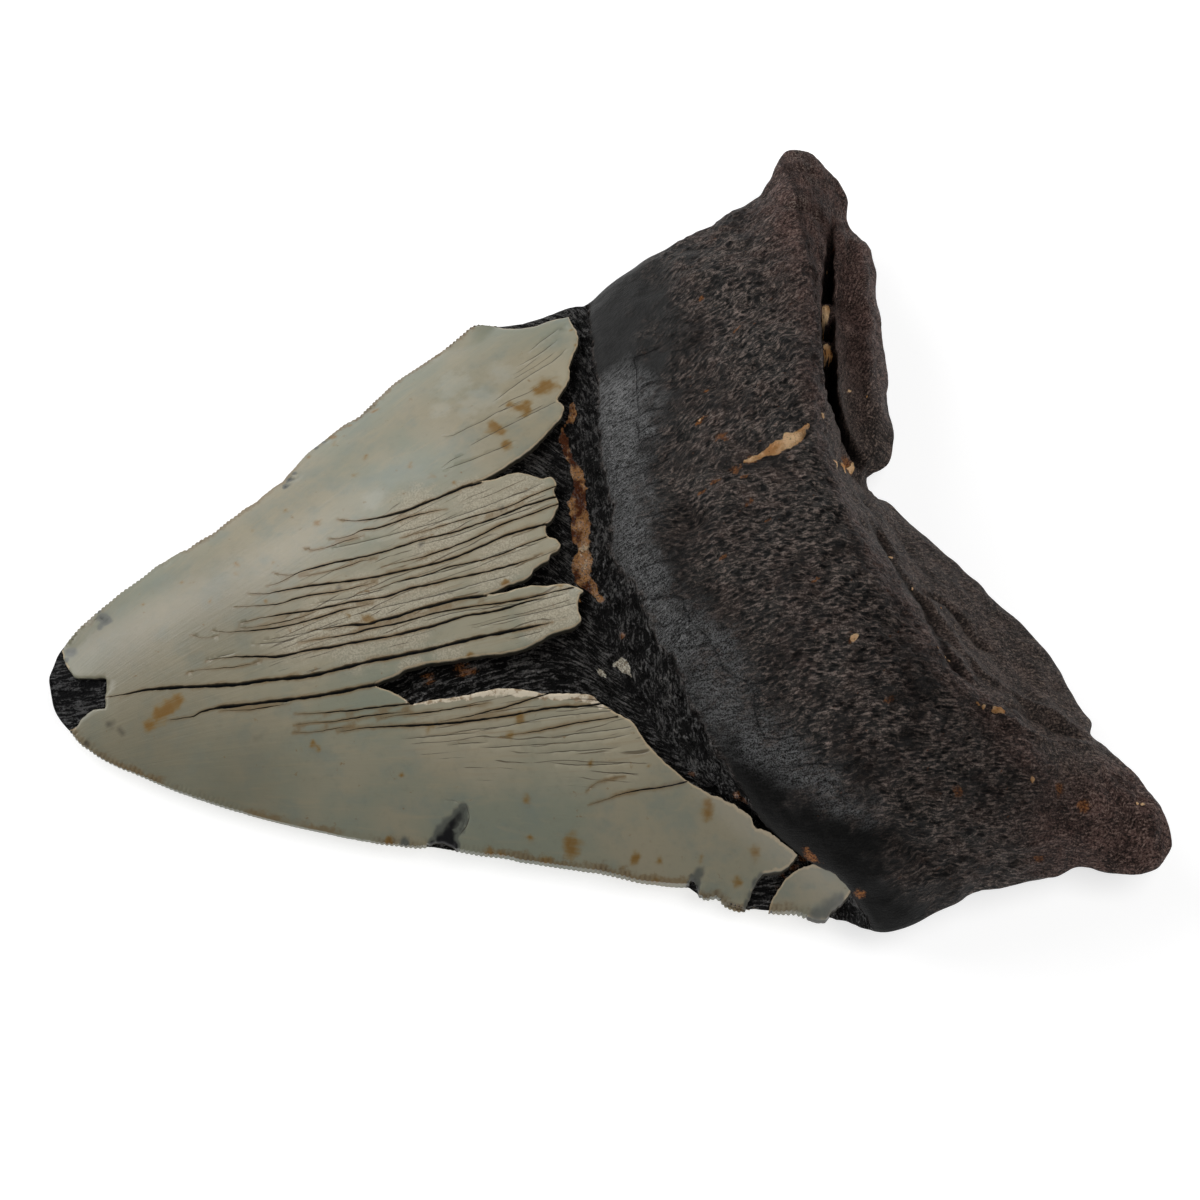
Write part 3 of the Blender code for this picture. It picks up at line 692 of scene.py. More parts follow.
# How far inside the enamel's edge the body stays where it is covered, and where it shows
HIDDEN, BARE = 0.38, 0.02
near_profile = edge_profile((
    (NEAR_EDGE[2:-2], HIDDEN), ((434, 847.5, 452, 850.5), BARE), (NEAR_EDGE_MIDDLE[2:-2], HIDDEN),
    ((690.5, 890, 698, 896), BARE), (NEAR_EDGE_END[2:-4], HIDDEN), ((748, 911.5, 757, 911, 766, 913), BARE),
    (NEAR_CORNER[2:-2], HIDDEN), ((826, 918.5, 835, 921.5), BARE),
))
far_profile = edge_profile((
    ((55, 668), BARE), (FAR_EDGE[2:-2], HIDDEN),
    ((500, 329.5, 520, 328, 540, 323.5, 560, 317.5, 580, 312.5, 600, 305), BARE),
))
rows, columns = body_grid()
lingual_core, carving = carved(body_sheet(LINGUAL, 1, rows, columns))
labial_core = body_sheet(LABIAL, -1, rows[::2], columns[::2])
core_sheet = Surface(lingual_core)
form_rows = np.linspace(0, 6.5, 300)
form_sheet = Surface(loft(LINGUAL, form_rows, np.linspace(0, COLUMN_SPANS, 361)))
labial_sheet = Surface(loft(LABIAL, form_rows, np.linspace(0, COLUMN_SPANS, 181)))


def grain_of(points):
    """Distances over the sheet in millimetres: towards the root, across it, and none."""
    grain = np.zeros(points.shape)
    grain[1:, :, 0] = np.cumsum(np.linalg.norm(np.diff(points, axis=0), axis=-1), axis=0)
    grain[:, 1:, 1] = np.cumsum(np.linalg.norm(np.diff(points, axis=1), axis=-1), axis=1)
    grain[:, :, 0] -= grain[:, :, 0].mean()
    grain[:, :, 1] -= grain[:, grain.shape[1] // 2 : grain.shape[1] // 2 + 1, 1]
    return grain


def off_spot(points, x, y, radius):
    """How far points are from a pixel cast onto the body, in units of a radius in pixels."""
    return np.linalg.norm(points - np.array(core_sheet.cast((x, y))[0]), axis=1) / (radius * PIXEL)


def spot_weight(points, spots, wobble, soft=0.5):
    """1 inside round spots given as pixels, fading to 0 outside, with wandering outlines."""
    weight = np.zeros(len(points))
    for x, y, radius in spots:
        off = off_spot(points, x, y, radius)
        near = off < 4
        inside = 1 - smooth(off[near] + wobble[near] * 0.9, 1 - soft, 1 + soft)
        weight[near] = np.maximum(weight[near], inside)
    return weight


def strip(points, flat, widths, wobble, full=0.75, none=1.25):
    """Each point's distance from a line of pixels, and 1 inside the strip of those widths along it."""
    off, share = distance_to_line(points, on_sheet(flat, core_sheet))
    return off, 1 - smooth(off / half_width(share, widths) + wobble, full, none)


def from_ends(count):
    """How many places each of a row's items is from the row's nearer end."""
    return np.minimum(np.arange(count), np.arange(count)[::-1])


# Rows of the loft: the last that the crown's marks reach, the first of the root's, and the ridge's
LAST_CROWN_ROW, FIRST_ROOT_ROW, RIDGE_ROW = 7, 5, 9.0
TIP_END, TIP_START = -61, -64  # x between which the bare tip fades
POLISH_FADE = 12  # millimetres over which the glossy band starts
FULL_CARVING = 2.5  # the depth of fold that counts as deep
# Millimetres of relief: a broad sink round the root's great crack and its width, the hair cracks' depth
# and width, and how far sediment and chips stand proud
SINK_DEPTH, SINK_WIDTH = 0.55, 1.3
HAIR_CRACK_DEPTH, HAIR_CRACK_WIDTH = 0.12, 0.25
SEDIMENT_RISE, CHIP_RISE = 0.3, 0.35
PIT_RADIUS, PIT_DEPTH = 0.42, 0.5
EDGE_RELIEF = 0.25  # the share of the relief that is left at the sheet's edge
LABIAL_ROUGHNESS = 1.4
LABIAL_GRAIN_START = (40, 40, 9)  # which sets the labial face's pattern apart


def body_zones(points, grain, rows, columns):
    """How far each point of the lingual sheet belongs to each zone, and what its relief needs besides."""
    u, v = np.repeat(rows, len(columns)), np.tile(columns, len(rows))
    foot, top = (np.tile(border_rows(core_sheet, rows, columns, border), len(rows))
                 for border in (BOURLETTE_CROWN_BORDER, BOURLETTE_ROOT_BORDER))
    on_crown, on_root = u < LAST_CROWN_ROW, u > FIRST_ROOT_ROW
    broad, middling = samples(points, 6, 3, 1), samples(points, 2.4, 3, 2)
    fine = samples(grain * (0.55, 1, 1), 0.95, 3, 3)

    ridge = RIDGE_ROW + 0.1 * broad
    behind = smooth(u, ridge - 0.15, ridge + 0.35)
    beyond_foot = smooth(u - foot + 0.06 * middling + 0.05 * fine, -0.07, 0.07)
    beyond_top = smooth(u - top + 0.3 * broad + 0.3 * middling + 0.25 * fine, -0.8, 0.75)
    bourlette = beyond_foot * (1 - beyond_top)
    lobes = smooth(np.maximum(1.6 - v, v - (COLUMN_SPANS - 1.3)) + 0.25 * (u - 8.6), -0.2, 0.9)
    lobes *= smooth(u, 7.2, 8.6)
    lobes = np.maximum(lobes, 0.75 * smooth(u + 0.25 * broad, 8.0, 8.8) * (1 - behind))
    crown, root_side = 1 - beyond_foot, smooth(u, ENAMEL_LINE - 0.1, ENAMEL_LINE + 0.35)

    seam = strip(points, SEAM, SEAM_WIDTHS, 0.55 * middling + 0.3 * fine)[1] * on_crown
    crack_off, crack = strip(points, TORUS_CRACK, TORUS_CRACK_WIDTHS, 0.6 * middling + 0.35 * fine)
    crack *= on_root
    rust = spot_weight(points, RUST_SPOTS, 1.2 * middling + 0.8 * fine, 0.8)
    for fleck in FLECKS:
        rust = np.maximum(rust, 1.4 * strip(points, fleck, (3, 2), 0.8 * fine)[1] * on_root)
    chips = [strip(points, line, widths, 0.7 * middling + 0.4 * fine)[1]
             for line, widths in ((CHIP, CHIP_WIDTHS), (SMALL_CHIP, SMALL_CHIP_WIDTHS))]
    polish_and_sheen = strip(points, POLISHED, POLISHED_WIDTHS, 0.35 * middling + 0.3 * broad, 0.1, 1.7)[1]
    from_start = np.linalg.norm(points - on_sheet(POLISHED[:2], core_sheet), axis=1)
    polish_and_sheen *= smooth(from_start + 1.5 * broad + 0.8 * middling, -1, POLISH_FADE)
    crack_near, crack_side = crack_distances(points, ROOT_CRACKS, core_sheet)
    zones = {
        "bourlette": bourlette, "porous": beyond_top * (1 - behind) * (1 - 0.75 * lobes), "behind": behind,
        "lobes": lobes, "band": crown * root_side, "crown": crown,
        "sediment": np.maximum(crack, spot_weight(points, SEDIMENT_SPOTS, middling + 0.6 * fine)),
        "seam": seam, "rust": rust, "polish_and_sheen": polish_and_sheen * bourlette, "white": np.maximum(*chips) * on_crown,
        "tip": smooth(points[:, 0], TIP_END, TIP_START),
        "dust": spot_weight(points, DUST_SPOTS, middling + 0.8 * fine, 0.8),
        "crack_near": crack_near, "crack_side": crack_side, "carving": np.clip(carving / FULL_CARVING, 0, 1),
    }
    return zones, (broad, middling, fine), (u - foot, on_root, root_side), (crack_off, crack)


def body_relief(points, grain, rows, columns):
    """Displacement along the normal of each point of the lingual sheet, and its zones' weights."""
    zones, (broad, middling, fine), (from_foot, on_root, root_side), (crack_off, crack) = body_zones(
        points, grain, rows, columns)
    strands = samples(grain * (1, 0.28, 1), 1.1, 3, 4)
    from_pit = np.array([noise.voronoi(Vector(p))[0][0] for p in grain * (0.6, 1.05, 1)])
    pits = PIT_DEPTH * np.clip(PIT_RADIUS - from_pit, 0, 1) / PIT_RADIUS

    relief = zones["porous"] * (0.36 * fine + 0.32 * middling + 0.3 * broad - pits)
    relief += zones["behind"] * (0.22 * middling + 0.12 * fine)
    relief += zones["lobes"] * (0.16 * middling + 0.06 * fine)
    relief += zones["bourlette"] * (0.05 * middling + 0.03 * fine + 0.25 * smooth(from_foot, 0, 0.25))
    relief += zones["band"] * (0.45 * strands + 0.25 * middling + 0.3 * fine - 0.5)
    relief += zones["crown"] * (1 - root_side) * (0.25 * strands + 0.15 * fine - 0.15)
    relief += zones["seam"] * (0.35 + 0.2 * middling)
    relief -= SINK_DEPTH * bell(crack_off / SINK_WIDTH) * on_root
    relief *= 1 - 0.8 * crack
    relief += SEDIMENT_RISE * spot_weight(points, SEDIMENT_SPOTS, middling)
    for x, y, radius, depth in DARK_PITS:
        relief -= depth * bell(off_spot(points, x, y, radius))
    relief -= HAIR_CRACK_DEPTH * bell(zones["crack_near"] / HAIR_CRACK_WIDTH) * on_root
    relief += CHIP_RISE * zones["white"]
    # painted shade: the more the relief sinks below half a millimetre, the darker the colour
    zones["hollow"] = np.clip(0.5 - relief, 0, 1)
    return relief.reshape(len(rows), len(columns)), zones


def to_world(points):
    return (points + SHIFT) * MM


def inside_box(points):
    """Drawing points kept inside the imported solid's box."""
    return np.clip(points, BOX_LOW - SHIFT, BOX_HIGH - SHIFT)


def linked(name, data):
    """A new object in the scene."""
    made = bpy.data.objects.new(name, data)
    bpy.context.scene.collection.objects.link(made)
    return made


def new_object(name, points, faces, attributes, sharp_angle=None):
    """An object from drawing points, with an attribute for each set of values, one a point."""
    mesh = bpy.data.meshes.new(name)
    mesh.from_pydata(to_world(points).tolist(), [], faces)
    mesh.update()
    for key, values in attributes.items():
        kind, field = ("FLOAT_VECTOR", "vector") if values.ndim == 2 else ("FLOAT", "value")
        mesh.attributes.new(key, kind, "POINT").data.foreach_set(field, values.astype(np.float32).ravel())
    mesh.shade_smooth()
    if sharp_angle:
        mesh.set_sharp_from_angle(angle=math.radians(sharp_angle))
    return linked(name, mesh)


def body_faces(index, low_index):
    """The body's faces: the lingual grid, and the coarser labial one stitched to its border."""
    faces = grid_faces(*index.shape).tolist()
    last_row, last_column = low_index.shape[0] - 2, low_index.shape[1] - 2
    for i in range(last_row + 1):
        for j in range(last_column + 1):
            ring = (
                (low_index[i, j], True), (index[0, 2 * j + 1], i == 0),
                (low_index[i, j + 1], True), (index[2 * i + 1, -1], j == last_column),
                (low_index[i + 1, j + 1], True), (index[-1, 2 * j + 1], i == last_row),
                (low_index[i + 1, j], True), (index[2 * i + 1, 0], j == 0),
            )
            faces.append([int(point) for point, is_wanted in ring if is_wanted])
    return faces


def build_body():
    shape = lingual_core.shape[:2]
    grain = grain_of(lingual_core)
    relief, zones = body_relief(lingual_core.reshape(-1, 3), grain.reshape(-1, 3), rows, columns)
    by_edge = np.minimum(from_ends(shape[0])[:, None], from_ends(shape[1])[None, :])
    relief *= EDGE_RELIEF + (1 - EDGE_RELIEF) * np.clip(by_edge / 5, 0, 1)
    top = lingual_core + sheet_normals(lingual_core) * relief[:, :, None]

    labial_grain = grain_of(labial_core)
    rough = 0.3 * samples(labial_core.reshape(-1, 3), 2.2, 3, 11)
    rough += 0.2 * samples(labial_grain.reshape(-1, 3), 1.2, 3, 12)
    u = np.repeat(rows[::2], labial_core.shape[1])
    rough = (rough * smooth(u, ENAMEL_LINE + 0.5, ENAMEL_LINE + 2)).reshape(labial_core.shape[:2])
    under = labial_core.copy()
    under[:, :, 2] += np.abs(rough) * LABIAL_ROUGHNESS * np.clip(by_edge[::2, ::2] / 8, 0, 1)

    index = np.arange(shape[0] * shape[1]).reshape(shape)
    inner = by_edge[::2, ::2] > 0
    low_index = index[::2, ::2].copy()
    low_index[inner] = index.size + np.arange(inner.sum())
    u = u.reshape(inner.shape)[inner]
    labial_zones = {key: np.zeros(len(u)) for key in zones}
    labial_zones["porous"] = 0.8 * smooth(u, 5.6, 6.6)
    labial_zones["behind"] = np.full(len(u), 0.2)
    labial_zones["crown"] = 1 - smooth(u, 5.4, 6.4)
    # painted shade on the labial face, darker where its roughness noise is low
    labial_zones["hollow"] = 0.5 - rough[inner]
    labial_zones["crack_near"] = labial_zones["crack_side"] = np.full(len(u), FAR)
    attributes = {key: np.concatenate([zones[key], labial_zones[key]]) for key in zones}
    attributes["grain"] = np.concatenate([grain.reshape(-1, 3), labial_grain[inner] + LABIAL_GRAIN_START])
    points = np.concatenate([top.reshape(-1, 3), under[inner]])
    return new_object("tooth_body", inside_box(points), body_faces(index, low_index), attributes)


# ---------------------------------------------------------------- the enamel
# Cracks in the enamel, each as its greatest width in millimetres and then pixels from tip to root.
# A wide one is a groove down to the dentine; a hairline only stains.
CRACKS = (
    (0.62, 105, 697.8, 131.8, 692.7, 144, 690, 177, 687, 200, 686.3, 238.3, 684, 267.6, 679.9, 289.3, 678,
     314.8, 674.8, 340.3, 668.4, 365.8, 662, 389.3, 657.5, 408.4, 653.7, 427.6, 649.8, 453, 643.5,
     478.6, 637, 502, 632.6, 527.6, 627.5, 553, 622.4),
    (0.55, 167.6, 720.1, 193, 716.3, 200.7, 711.8, 218.6, 707.4, 238.3, 705.4, 276.5, 700.9, 302, 697.8,
     327.6, 693.9, 353, 688.8, 379, 683.5), (0.3, 220.4, 710.5, 247.2, 709.9, 266.3, 707.3, 289.3, 703.5),
    (0.5, 338.3, 519.1, 353.6, 521, 370.2, 519.1, 389.3, 515.3, 408.4, 509.5, 427.6, 501.9, 446.7, 494.2,
     462, 487.5, 480, 482.4),
    (0.3, 328, 538.2, 338.3, 538.9, 353.6, 534.4, 360, 530.6, 376.5, 528, 391.8, 522.9, 408.4, 517.2,
     427.6, 512.1, 446.7, 508.9),
    (0.25, 303.8, 547.8, 314, 550.4, 325.5, 547.8, 344.6, 541.4, 363.8, 535.7),
    (0.34, 267.6, 586.1, 282.9, 581, 300, 572, 319.1, 566.9, 338.3, 561.8, 357.4, 558, 379, 552.9,
     402, 545.9, 421.7, 539.5, 454.8, 531.8, 476.5, 524.2, 486.7, 521, 511, 511.4, 527.6, 505, 556, 496.5),
    (0.22, 400, 538.2, 425.5, 530.6, 451, 522.9, 476.5, 515.3, 499.5, 509.5, 514.8, 503.8, 533.9, 494.8,
     558, 485.3), (0.2, 272.7, 572.8, 289.3, 575.3, 302, 571.5, 327.6, 563.8, 346.7, 560.6),
    (0.18, 300, 577.1, 325.5, 572, 344.6, 566.9, 361.2, 561.2, 376.5, 559.3),
    (0.3, 381.6, 566.9, 400, 562.4, 425.5, 556.1, 451, 547.1, 476.5, 536.9, 502, 524.2, 527.6, 515.3,
     558.2, 503.8),
    (0.4, 247.2, 593.2, 263.8, 593.8, 279, 591.3, 308.4, 586.1, 348.5, 581, 370.2, 577.8, 400, 571.4,
     425.5, 565.6, 451, 558.6, 476.5, 548.4, 508.4, 534.4, 550, 523),
    (0.26, 231.9, 607.2, 253.6, 605.9, 276.5, 604, 302, 597, 316.6, 594.4, 342, 590.5, 357.4, 586.7,
     376.5, 582.2),
    (0.24, 357.4, 593.7, 376.5, 589.3, 400, 580.9, 425.5, 575.2, 451, 566.3, 476.5, 561.2, 502, 553.5,
     527.6, 543.3, 546, 537),
    (0.34, 239.5, 623.1, 257.4, 618.7, 279, 614.8, 302, 611.7, 321.7, 608.4, 344.6, 603.3, 363.8, 600.1,
     389.3, 595.6, 408.4, 588.6, 427.6, 584.8, 451, 579, 476.5, 573.9, 502, 567.6, 527.6, 559.9,
     542, 554.2), (0.2, 238.3, 628.2, 254.8, 627, 276.5, 623.1, 302, 616.8, 321.2, 609.1),
    (0.3, 211.5, 630.2, 225.5, 632, 254.8, 630.2, 276.5, 627.6, 295.7, 623.8, 321.2, 616.8, 346.7, 609.1,
     372.2, 604),
    (0.5, 308.4, 631.4, 333.9, 627, 351, 625, 370.2, 623.7, 376.5, 621.1, 395.7, 616.7, 414.8, 610.3,
     433.9, 605.2, 459.4, 598.8, 486, 595.5),
    (0.3, 298.2, 642.3, 314.8, 639.7, 340.3, 635.9, 356.9, 632.7, 366.3, 629.4, 389.3, 625, 408.4, 620.5,
     438.3, 612.2, 476.5, 605.8, 502, 602.6, 527.6, 598.2, 546.7, 593.1, 572.2, 587.5),
    (0.42, 205, 660.8, 219, 658.2, 235.7, 656.9, 257.4, 656.3, 271.4, 656.9, 289.3, 654.4, 308.4, 649.9,
     333.9, 646.5, 351, 642.8, 370.2, 639.6, 395.7, 635.2, 414.8, 630, 433.9, 625.6, 463.8, 616,
     495.7, 610.9, 521.2, 603.3, 546.7, 596.4),
    (0.16, 186.7, 672.9, 200, 669.7, 225.5, 667.8, 244.6, 665.2, 261.2, 661.4),
    (0.16, 190.5, 634.7, 204.5, 637.9, 218.6, 636),
    (0.3, 295.7, 714.3, 327.6, 712.4, 365.8, 708.6, 400, 704.4, 412, 703.8),
    (0.22, 294.4, 725.8, 311, 722.6, 333.9, 721.4, 359.4, 716.9, 385, 713.7, 410, 711.5),
    (0.22, 293.1, 732.8, 314.8, 732.2, 333.9, 728.4, 353, 726.5),
    (0.34, 337.8, 732.2, 359.4, 728.4, 383.7, 726.5, 400, 726, 428, 724.5, 455, 722.5, 480, 719.5, 505, 716,
     530, 711.5, 552, 707.8, 575, 706.5, 601, 703.5),
    (0.26, 435, 723, 462, 717.5, 490, 711, 515, 704, 535, 697.5, 548, 693.5),
    (0.24, 378.6, 718.8, 400, 715, 430, 712, 462, 707, 490, 702.5),
    (0.22, 500, 737, 525, 733, 548, 729, 570, 724, 592, 720.5, 617, 716.5),
    (0.24, 588, 805, 602, 801, 618, 795, 636, 790.5, 655, 788, 686, 781.5),
    (0.16, 586, 792, 596, 783, 610, 779.5, 625, 776),
)
HAIRLINES = (
    (440, 436, 452.8, 435.4, 468, 428, 484.6, 420, 497.4, 412.4, 522.9, 402.2),
    (491, 403.5, 511.4, 388.2, 529.3, 375.5, 554.8, 360, 567.6, 347.4),
    (515, 367.8, 535.7, 356.3, 558.6, 339.7), (526.7, 353.8, 542, 341, 561.2, 327),
    (465.5, 448, 482, 439.2, 503.8, 427.8, 529.3, 415, 554.8, 402),
    (440, 471, 465.5, 462.2, 497.4, 449.4, 516.5, 440.5), (440, 468.6, 452.8, 459.6, 465.5, 454.5),
    (445, 735, 470, 730, 500, 727, 530, 721, 560, 716, 590, 713, 610, 710.5),
    (400, 739.5, 425, 737, 452, 734.5, 478, 733),
    (478, 748, 510, 746.5, 545, 744, 580, 741.5, 610, 738, 632, 734),
    (532, 755, 555, 752, 590, 750, 622, 747), (545, 762, 575, 765, 605, 764.5, 632, 762),
    (560, 700, 585, 699, 600, 700.5), (545, 738, 575, 734, 605, 730.5, 630, 727),
    (445, 746, 465, 743.5, 490, 742), (505, 640.5, 530, 634.5, 548, 629),
    (400, 604, 440, 594, 480, 583, 515, 574),
    (330, 549, 370, 540, 410, 529.5, 450, 518.5, 480, 508, 520, 493, 548, 481),
    (420, 545, 460, 534, 500, 518.5, 540, 505.5), (390, 584.5, 430, 574.5, 470, 564, 510, 549.5, 540, 543),
    (350, 616, 390, 606, 430, 597, 470, 587), (310, 604.5, 350, 597.5, 390, 588),
    (420, 622, 460, 611.5, 500, 606.5, 540, 599.5, 570, 592), (262, 640, 290, 636, 320, 629.5, 350, 620),
    (250, 644.5, 280, 642, 300, 638), (470, 629, 500, 621, 540, 612, 575, 603),
    (209.6, 659.5, 236.4, 652.4),
    (461, 803, 464, 802.5, 467, 808, 469, 814, 468.5, 820, 465, 828, 461, 834, 458, 839),
    (443, 801, 449, 800, 455, 801, 459, 804, 460.5, 806), (456, 830, 459, 823, 463, 817),
    (459.5, 832, 463, 825, 466, 818), (452, 821, 457, 816, 463, 813), (740, 735, 715, 733, 690, 737),
    (605, 775, 622, 773, 640, 776), (560, 708, 590, 706.5, 612, 709),
)
RUST_STAINS = (
    (547, 385, 11), (540, 391, 8), (524, 408, 9), (511, 403, 5), (497.4, 429, 9), (506, 445, 6),
    (494, 425, 7), (178, 700, 7), (167, 708, 8), (158, 716, 8), (149, 726, 6), (433, 476, 3), (455, 483, 3),
    (236, 565, 3), (366, 618, 4), (372, 621, 5), (348, 617, 3), (490, 855, 6), (500, 857, 5), (570, 847, 9),
    (545, 864, 6), (520, 720, 5), (434, 727, 3), (428, 731, 3), (510, 735, 4), (527, 800, 5), (401, 773, 3),
    (708, 808, 7), (755, 855, 5), (660, 862, 4), (737, 883, 4), (655, 884, 5), (530, 840, 4), (636, 858, 5),
    (312, 744, 3), (318, 750, 3), (700, 860, 3), (143, 604, 3), (236, 574, 2.5), (182, 582, 3),
    (272, 563, 2), (210, 600, 2.5), (590, 764, 3), (650, 765, 3), (437, 666, 5), (420, 669, 4),
    (470, 655, 4), (505, 583, 4), (560, 584, 4), (333, 437, 4), (335, 443, 3), (309, 457, 3),
    (350, 426, 2.5), (374, 410, 5), (253, 531, 2), (261, 557, 2), (365, 457, 3), (355, 475, 3),
    (315, 500, 2), (317, 524, 4), (285, 511, 3), (266, 602, 2.5), (410, 466, 3), (300, 748, 2.5),
    (576, 345, 2.5), (571, 330, 2.5), (390, 842, 4),
)
DARK_SPECKS = (
    (110, 724, 3.5), (121, 731, 3), (107, 722, 2.5), (87, 743, 3), (292, 742, 2), (258, 739, 2.5),
    (421, 545, 2.2), (422, 676, 3), (340, 588, 2), (490, 724, 2), (502, 508, 2),
)
MATTE_PATCHES = (
    (360, 620, 45), (330, 632, 30), (420, 600, 30), (560, 610, 26), (540, 625, 18), (300, 640, 24),
    (520, 490, 24), (480, 500, 26), (440, 540, 30), (500, 560, 26), (400, 628, 26), (450, 655, 16),
    (410, 668, 14), (560, 590, 14), (420, 512, 26),
)


def serrated(points):
    """A cutting edge's points with notches between its teeth, and how deep each point lies in one."""
    along = distances_along(points[:, :2])
    spots = np.stack([along, 0 * along, 0 * along], -1)
    phase = along / SERRATION + 0.35 * samples(spots, 7, 2, 21)
    cut = (0.5 - 0.5 * np.cos(2 * np.pi * phase)) ** 2
    wear = smooth(samples(spots, 9, 3, 22), -0.55, 0.25) * 0.85 + 0.15
    return NOTCH_CUT * cut * wear + 0.09 * np.clip(samples(spots, 1.6, 3, 23), 0, 1), cut * wear


def broken(points):
    """How far each of a broken edge's points is moved to make it ragged, and no notches."""
    depth = 0.1 * samples(points, 0.9, 3, 24) * np.clip(from_ends(len(points)) / 3, 0, 1)
    return depth, np.zeros(len(points))


def inside_loops(loops, spots):
    """Even-odd test of each spot against closed loops."""
    start, end = np.concatenate(loops), np.concatenate([np.roll(loop, -1, axis=0) for loop in loops])
    rise = np.where(end[:, 1] != start[:, 1], end[:, 1] - start[:, 1], 1e-12)
    slope = (end[:, 0] - start[:, 0]) / rise
    inside = np.zeros(len(spots), bool)
    for first in range(0, len(spots), 4000):
        x, y = spots[first : first + 4000, :, None].transpose(1, 0, 2)
        crossed = ((start[:, 1] > y) != (end[:, 1] > y)) & (x < start[:, 0] + (y - start[:, 1]) * slope)
        inside[first : first + 4000] = crossed.sum(axis=1) % 2 == 1
    return inside


def tree_of(spots):
    """A tree that finds the nearest of some spots in plan."""
    tree = KDTree(len(spots))
    for k, (x, y) in enumerate(spots):
        tree.insert((x, y, 0), k)
    tree.balance()
    return tree


def off_tree(spots, tree):
    return np.array([tree.find((x, y, 0))[2] for x, y in spots])


class Outline:
    """A closed outline, counterclockwise from above, that knows which of its points are a cutting edge."""

    def __init__(self, runs):
        parts = []
        ends = [run[0] for run, _ in runs[1:] + runs[:1]]
        for (run, is_cutting), end in zip(runs, ends):
            step = EDGE_STEP if is_cutting else BREAK_STEP
            dense = curve_through(np.concatenate([run[:-1], [end]]), step)
            depth, cut = serrated(dense) if is_cutting else broken(dense)
            inward = left_of(dense)
            moved = dense[:, :2] + inward * depth[:, None]
            parts.append([values[:-1] for values in (moved, cut, inward, np.full(len(dense), is_cutting))])
        self.points, self.cuts, self.inward, self.cutting = (np.concatenate(part) for part in zip(*parts))
        self.tree = tree_of(self.points)
        self.edge_tree = tree_of(self.points[self.cutting])
        self.break_tree = tree_of(self.points[~self.cutting])

    def contains(self, spots):
        return inside_loops([self.points], spots)


def grid_spots(low, high, spacing):
    """A staggered grid of points over a rectangle."""
    xs = np.arange(low[0], high[0], spacing)
    ys = np.arange(low[1], high[1], spacing * 0.87)
    grid = np.stack(np.meshgrid(xs, ys), -1)
    grid[1::2, :, 0] += spacing / 2
    return grid.reshape(-1, 2)


def triangulated(loops, lines, spots):
    """Triangles inside closed loops, with lines and spots built in: points, triangles, points' sources."""
    places, edges = [], []
    for chain, gap in [(loop, 0) for loop in loops] + [(line, 1) for line in lines]:
        first, count = len(places), len(chain)
        places.extend(chain.tolist())
        edges.extend((first + k, first + (k + 1) % count) for k in range(count - gap))
    places.extend(spots.tolist())
    points, _, faces, sources, _, _ = delaunay_2d_cdt([Vector(p) for p in places], edges, [], 1, 1e-5, True)
    points = np.array([tuple(p) for p in points])
    faces = np.array([tuple(face) for face in faces])
    faces = faces[inside_loops(loops, points[faces].mean(axis=1))]
    used = np.unique(faces)
    renumber = np.full(len(points), -1)
    renumber[used] = np.arange(len(used))
    return points[used], renumber[faces], np.array([sources[k][0] if sources[k] else -1 for k in used])


def boundary_loops(faces):
    """The loops of edges that only one triangle uses, in the triangles' own direction."""
    following = {}
    directed = {(int(a), int(b)) for face in faces for a, b in zip(face, np.roll(face, -1))}
    for a, b in directed:
        if (b, a) not in directed:
            following.setdefault(a, []).append(b)
    loops = []
    while following:
        start = min(following)
        loop = [start]
        while True:
            ahead = following[loop[-1]].pop()
            if not following[loop[-1]]:
                del following[loop[-1]]
            if ahead == start:
                break
            loop.append(ahead)
        loops.append(loop)
    return loops


class Groove:
    """A crack as three lines side by side: its middle and its rims."""

    def __init__(self, line, width, seed, outline, tapers):
        dense = curve_through(line, GROOVE_STEP)[:, :2]
        count = len(dense)
        side = left_of(dense)
        along = np.arange(count) * GROOVE_STEP
        spots = np.stack([along, np.full(count, seed * 9.7), np.zeros(count)], -1)
        dense = dense + side * (0.07 * samples(spots, 1.1, 3, 31))[:, None]
        open_end = not outline.contains(dense[-1:])[0] or off_tree(dense[-1:], outline.tree)[0] < 0.6
        ragged = 1 + 0.45 * samples(spots, 1.4, 3, 32)
        half = width / 2 * np.maximum(smooth(along, -0.6, tapers[0]) * ragged, 0.22)
        strength = np.clip(along / 1.5, 0, 1)
        if not open_end:
            half *= np.maximum(1 - smooth(along, along[-1] - tapers[1], along[-1] + 0.5), 0.2)
            strength *= np.clip((along[-1] - along) / 1.5, 0, 1)
        self.middle, self.half, self.strength = dense, half, strength
        self.lines = [dense + side * off[:, None] for off in (0 * half, half, -half)]
        for rim in self.lines:
            rim[0] = dense[0]
            if not open_end:
                rim[-1] = dense[-1]


def nearness(spots, grooves):
    """How near a groove's middle each spot is, from 0 at its rims to 1, and that groove's half width."""
    near = np.zeros(len(spots))
    width = np.zeros(len(spots))
    for groove in grooves:
        low, high = groove.middle.min(axis=0) - 1, groove.middle.max(axis=0) + 1
        close = np.nonzero(((spots >= low) & (spots <= high)).all(axis=1))[0]
        a, along = groove.middle[:-1], np.diff(groove.middle, axis=0)
        for chunk in np.array_split(close, max(1, len(close) * len(a) // 2_000_000)):
            offset = spots[chunk][:, None] - a[None]
            t = np.clip((offset * along).sum(-1) / (along * along).sum(-1), 0, 1)
            off = np.linalg.norm(offset - t[:, :, None] * along, axis=-1)
            best = off.argmin(axis=1)
            pick = np.arange(len(chunk))
            at = t[pick, best]
            half, strength = (values[:-1][best] * (1 - at) + values[1:][best] * at
                              for values in (groove.half, groove.strength))
            value = strength * np.clip(1 - off[pick, best] / half, 0, 1)
            better = value > near[chunk]
            near[chunk[better]] = value[better]
            width[chunk[better]] = half[better]
    return near, width


